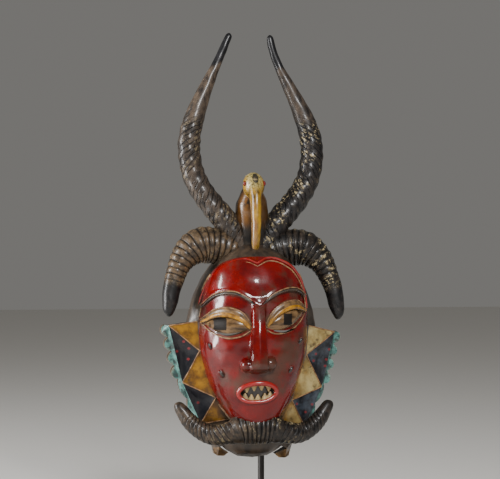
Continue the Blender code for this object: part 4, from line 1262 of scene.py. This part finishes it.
def ochre_paint():
    finish = Finish("ochre")
    golden = finish.mix((0.060, 0.022, 0.001), (0.26, 0.118, 0.003), finish.noise(60, 4, 0.6).within(0.30, 0.70))
    pale = finish.mix((0.13, 0.085, 0.022), (0.42, 0.34, 0.15), finish.noise(50, 4, 0.6).within(0.3, 0.7))
    side = (finish.x + (finish.noise(40, 2) - 0.5) * 0.07).within(0.03, 0.07)
    stains = finish.noise(95, 5, 0.7).within(0.52, 0.68)
    ground = finish.mix(finish.mix(golden, pale, side * 0.85), (0.030, 0.014, 0.005), stains * 0.8)
    colour, dusty, bare = aged(
        finish, ground, rub=0.5, rub_at=(0.08, 0.3), rubbed=(0.50, 0.34, 0.13), soil=0.8, soiled=(0.045, 0.026, 0.012)
    )
    finish.use(Base_Color=colour, Roughness=0.38 + dusty * 0.3 + stains * 0.1, Specular_IOR_Level=0.3)
    finish.use(Coat_Weight=0.15, Coat_Roughness=0.2)
    finish.bump(finish.noise(110, 4), 0.0008, 0.5)
    return finish.material


def blue_black_paint():
    finish = Finish("blue_black")
    right = finish.x.within(-0.02, 0.06)
    ground = finish.mix((0.0030, 0.0035, 0.006), (0.024, 0.022, 0.024), finish.noise(55, 5, 0.65).within(0.35, 0.8))
    ground = finish.mix(ground, (0.060, 0.075, 0.095), right * finish.noise(38, 4, 0.6).within(0.42, 0.66) * 0.8)
    for side, places in DOTS.items():
        for across, height in places:
            spot = finish.spot((side * across * U, MASK_Z + height * U), DOT_SIZE)
            ground = finish.mix(ground, (0.20, 0.018, 0.020), spot * 0.6)
    colour, dusty, bare = aged(finish, ground, rub=0.6, rub_at=(0.07, 0.24), rubbed=(0.26, 0.17, 0.08), soil=0.4)
    finish.use(Base_Color=colour, Roughness=0.36 + dusty * 0.3, Specular_IOR_Level=0.25)
    finish.use(Coat_Weight=0.15, Coat_Roughness=0.2)
    finish.bump(finish.noise(110, 4), 0.0008, 0.5)
    return finish.material


def turquoise_paint():
    finish = Finish("turquoise")
    ground = finish.mix((0.010, 0.042, 0.038), (0.075, 0.215, 0.185), finish.noise(120, 4, 0.6).within(0.35, 0.62))
    ground = finish.mix(ground, (0.008, 0.010, 0.011), finish.noise(150, 4, 0.7).within(0.46, 0.60) * 0.8)
    colour, dusty, bare = aged(finish, ground, rub=0.5, rub_at=(0.1, 0.35), rubbed=(0.30, 0.30, 0.22), soil=0.6)
    finish.use(Base_Color=colour, Roughness=0.48 + dusty * 0.3, Coat_Weight=0.1)
    finish.bump(finish.noise(200, 4), 0.0008, 0.5)
    return finish.material


for made in (ochre_paint(), blue_black_paint(), turquoise_paint()):
    print(made.name, len(made.node_tree.nodes), "nodes")

# %% [markdown]
# The eyeballs are tan wood under varnish with a squarish dark pupil, set outward of the middle, and go near black where
# the lids close in on them, as dust and painted shade. The teeth are cream, the bird is ochre with a black patch on its
# forehead, and the wood that was never painted is brown.

# %% Eyes, teeth, bird and bare wood
PUPILS = {-1: (-8.95, 32.4, 1.35, 1.5), 1: (6.45, 32.6, 1.1, 1.35)}


def eyeball_finish():
    finish = Finish("eyeball")
    streaks = finish.noise(150, 4, 0.6, stretch=(0.25, 1, 1))
    ground = finish.mix((0.024, 0.012, 0.005), (0.19, 0.108, 0.046), streaks.within(0.30, 0.68))
    pupil = 0.0
    for across, height, half_width, half_height in PUPILS.values():
        up = height + FACE_SLANT * across
        near_x = (finish.x - across * U) * (1 / (half_width * U)) + (finish.noise(200, 2) - 0.5) * 0.3
        near_z = (finish.z - (MASK_Z + up * U)) * (1 / (half_height * U)) + (finish.noise(170, 2) - 0.5) * 0.3
        pupil = (near_x * near_x).within(1.1, 0.8) * (near_z * near_z).within(1.1, 0.8) + pupil
    # Where the eyeball is closed in under its lids, the dust is laid on near black: dust and painted shade.
    colour, dusty, bare = aged(finish, ground, rub=0.0, soil=0.6, soil_at=(0.40, 0.85), soiled=(0.030, 0.016, 0.008))
    colour = finish.mix(colour, (0.003, 0.002, 0.002), pupil * 0.97)
    finish.use(Base_Color=colour, Roughness=0.30 + dusty * 0.3 + pupil * 0.3, Specular_IOR_Level=0.2)
    finish.use(Coat_Weight=(1 - pupil) * 0.35, Coat_Roughness=0.15)
    finish.bump(streaks, 0.0006, 0.4)
    return finish.material


def plain_finish(name, deep, bright, scale, roughness, coat, stretch=None, **ageing):
    """A paint or wood with one cloudy ground."""
    finish = Finish(name)
    grain = finish.noise(scale, 5, 0.6, stretch=stretch)
    colour, dusty, bare = aged(finish, finish.mix(deep, bright, grain.within(0.28, 0.72)), **ageing)
    finish.use(Base_Color=colour, Roughness=roughness + dusty * 0.25, Coat_Weight=coat, Coat_Roughness=0.2)
    finish.bump(grain + finish.noise(450, 2) * 0.2, 0.0009, 0.55)
    return finish.material


def bird_finish():
    """The bird's head and beak: pale and speckled above, ochre below, with a black patch on the forehead."""
    finish = Finish("bird")
    ochre = finish.mix((0.050, 0.024, 0.002), (0.36, 0.195, 0.005), finish.noise(110, 5, 0.65, (1, 1, 0.35)).within(0.34, 0.62))
    pale = finish.mix((0.045, 0.036, 0.010), (0.38, 0.31, 0.11), finish.noise(420, 4, 0.75).within(0.40, 0.55))
    beak_side = finish.x.within(0.0015, -0.0015) * finish.z.within(0.425, 0.415)
    ochre = finish.mix(ochre, (0.17, 0.065, 0.022), beak_side * finish.noise(60, 3).within(0.3, 0.6) * 0.8)
    crown = finish.z.within(0.430, 0.440) * finish.x.within(-0.0125, -0.0065) * finish.x.within(0.0125, 0.0065)
    ground = finish.mix(ochre, pale, crown * 0.85)
    patch = finish.spot((0.0004, 0.4472), (0.0038, 0.0060), soft=0.3)
    ground = finish.mix(ground, (0.006, 0.006, 0.006), patch * 0.95)
    colour, dusty, bare = aged(finish, ground, rub=0.6, rub_at=(0.05, 0.22), rubbed=(0.46, 0.34, 0.16), soil=0.8)
    finish.use(Base_Color=colour, Roughness=0.36 + dusty * 0.35, Coat_Weight=0.35, Coat_Roughness=0.2)
    finish.bump(finish.noise(160, 4), 0.0008, 0.5)
    return finish.material


def bird_body_finish():
    """Black wood, with worn orange-brown paint on its shoulders, and less of it on the right side as painted shade."""
    finish = Finish("bird_body")
    worn = finish.noise(70, 5, 0.65).within(0.34, 0.52) * finish.z.within(0.385, 0.400) * finish.z.within(0.445, 0.436)
    ground = finish.mix((0.0045, 0.0035, 0.003), (0.026, 0.018, 0.012), finish.noise(90, 4).within(0.4, 0.7))
    # Less of the orange paint on the right side: painted shade.
    shaded = (finish.x + (finish.noise(80, 3) - 0.5) * 0.03).within(0.002, 0.012)
    ground = finish.mix(ground, (0.130, 0.050, 0.004), worn * (0.85 - shaded * 0.5))
    colour, dusty, bare = aged(finish, ground, rub=0.5, rub_at=(0.08, 0.3), rubbed=(0.26, 0.16, 0.06), soil=0.4)
    finish.use(Base_Color=colour, Roughness=0.34 + dusty * 0.35, Coat_Weight=0.3, Coat_Roughness=0.2)
    finish.bump(finish.noise(160, 4), 0.0008, 0.5)
    return finish.material


WOOD = {"stretch": (1, 1, 0.3)}
finishes = [
    eyeball_finish(),
    bird_finish(),
    bird_body_finish(),
    plain_finish("tooth", (0.20, 0.12, 0.04), (0.52, 0.38, 0.17), 160, 0.36, 0.3, rub=0.2, soil=0.9, soil_at=(0.45, 0.9)),
    plain_finish("lid_gold", (0.11, 0.042, 0.002), (0.46, 0.205, 0.002), 130, 0.38, 0.15, rub=0.2, soil=0.7),
    plain_finish("lid_tan", (0.035, 0.018, 0.007), (0.21, 0.115, 0.042), 120, 0.38, 0.2, rub=0.3, soil=0.7),
    plain_finish("worn_edge", (0.070, 0.026, 0.010), (0.34, 0.185, 0.080), 210, 0.42, 0.2, rub=0.3, soil=0.6),
    plain_finish("peg", (0.0035, 0.003, 0.003), (0.018, 0.012, 0.010), 200, 0.3, 0.4, rub=0.1, soil=0.2),
    plain_finish("dark_wood", (0.010, 0.007, 0.005), (0.062, 0.040, 0.024), 90, 0.45, 0.15, rub=0.5, soil=0.6, **WOOD),
    plain_finish("bare_wood", (0.050, 0.029, 0.016), (0.16, 0.095, 0.050), 70, 0.68, 0.0, rub=0.3, soil=0.5, **WOOD),
]
for made in finishes:
    print(made.name, len(made.node_tree.nodes), "nodes")

# %% Finish the mask
carved.shade_smooth()
carved.set_sharp_from_angle(angle=math.radians(42))
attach(mask, "root")
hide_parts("mask")
print("paints on the mask:", [slot.material.name for slot in mask.material_slots])

# %% [markdown]
# The stand is plain black steel, so its solids stay as they are and only get a finish: satin lacquer with fine
# grain, a little brighter where it has been handled. The two pads behind the chin are grey felt.

# %% The stand
def black_steel():
    finish = Finish("black_steel_lacquer")
    cloud = finish.noise(45, 4)
    colour = finish.mix((0.012, 0.011, 0.010), (0.030, 0.027, 0.025), cloud.within(0.3, 0.7))
    finish.use(Base_Color=colour, Metallic=0.6, Roughness=0.38 + cloud * 0.15)
    finish.bump(finish.noise(900, 2), 0.0002, 0.25)
    return finish.material


def grey_felt():
    finish = Finish("grey_felt_pad")
    fluff = finish.noise(1500, 5, 0.7)
    finish.use(Base_Color=finish.mix((0.05, 0.05, 0.05), (0.16, 0.155, 0.15), fluff), Roughness=0.95, Sheen_Weight=0.3)
    finish.bump(fluff, 0.0006, 0.8)
    return finish.material


steel, felt = black_steel(), grey_felt()
for name, node in frame["nodes"].items():
    if name == "mask":
        continue
    node.data.materials.clear()
    node.data.materials.append(felt if name.startswith("felt") else steel)
    if name != "stand_base":
        node.data.shade_smooth()
        node.data.set_sharp_from_angle(angle=math.radians(40))
print("stand pieces:", [name for name in frame["nodes"] if name != "mask"])

# %% [markdown]
# The mask is seen from slightly to its right hand, at the height of its nose, from two metres away with a long lens,
# which is how such pieces are photographed. A big soft light from the left gives the long shine on the cheek, and a
# smaller one from the upper right the spot on the forehead.

# %% Floor, light and camera
CAMERA_TURN, CAMERA_DISTANCE, CAMERA_HEIGHT, LENS = math.radians(-9), 2.0, 0.375, 120
FLOOR_SIZE, PALE = 14.0, (0.80, 0.78, 0.74)

ground = bmesh.new()
bmesh.ops.create_grid(ground, x_segments=1, y_segments=1, size=FLOOR_SIZE / 2)
floor_mesh = bpy.data.meshes.new("floor")
ground.to_mesh(floor_mesh)
ground.free()
floor = bpy.data.objects.new("floor", floor_mesh)
bpy.context.scene.collection.objects.link(floor)
floor_finish = Finish("pale_floor")
floor_finish.use(Base_Color=PALE, Roughness=0.9)
floor_mesh.materials.append(floor_finish.material)

world = bpy.data.worlds.new("studio")
bpy.context.scene.world = world
world.use_nodes = True
world.node_tree.nodes["Background"].inputs["Color"].default_value = (*PALE, 1.0)
world.node_tree.nodes["Background"].inputs["Strength"].default_value = 0.22


def soft_light(name, place, size, power, aim=(0, 0, 0.36)):
    """A square area light that faces the mask."""
    light = bpy.data.lights.new(name, "AREA")
    light.shape, light.size, light.size_y, light.energy = "RECTANGLE", size[0], size[1], power
    lamp = bpy.data.objects.new(name, light)
    lamp.location = place
    lamp.rotation_euler = (Vector(aim) - Vector(place)).to_track_quat("-Z", "Y").to_euler()
    bpy.context.scene.collection.objects.link(lamp)


soft_light("window", (-2.0, -0.10, 0.60), (0.35, 1.2), 70)
soft_light("front", (0.15, -1.8, 1.50), (0.40, 0.40), 50)

aim = Vector((-0.001, 0, CAMERA_HEIGHT))
camera = bpy.data.objects.new("camera", bpy.data.cameras.new("camera"))
camera.location = aim + CAMERA_DISTANCE * Vector((math.sin(CAMERA_TURN), -math.cos(CAMERA_TURN), 0))
camera.rotation_euler = (aim - camera.location).to_track_quat("-Z", "Y").to_euler()
camera.data.lens = LENS
bpy.context.scene.collection.objects.link(camera)
bpy.context.scene.camera = camera
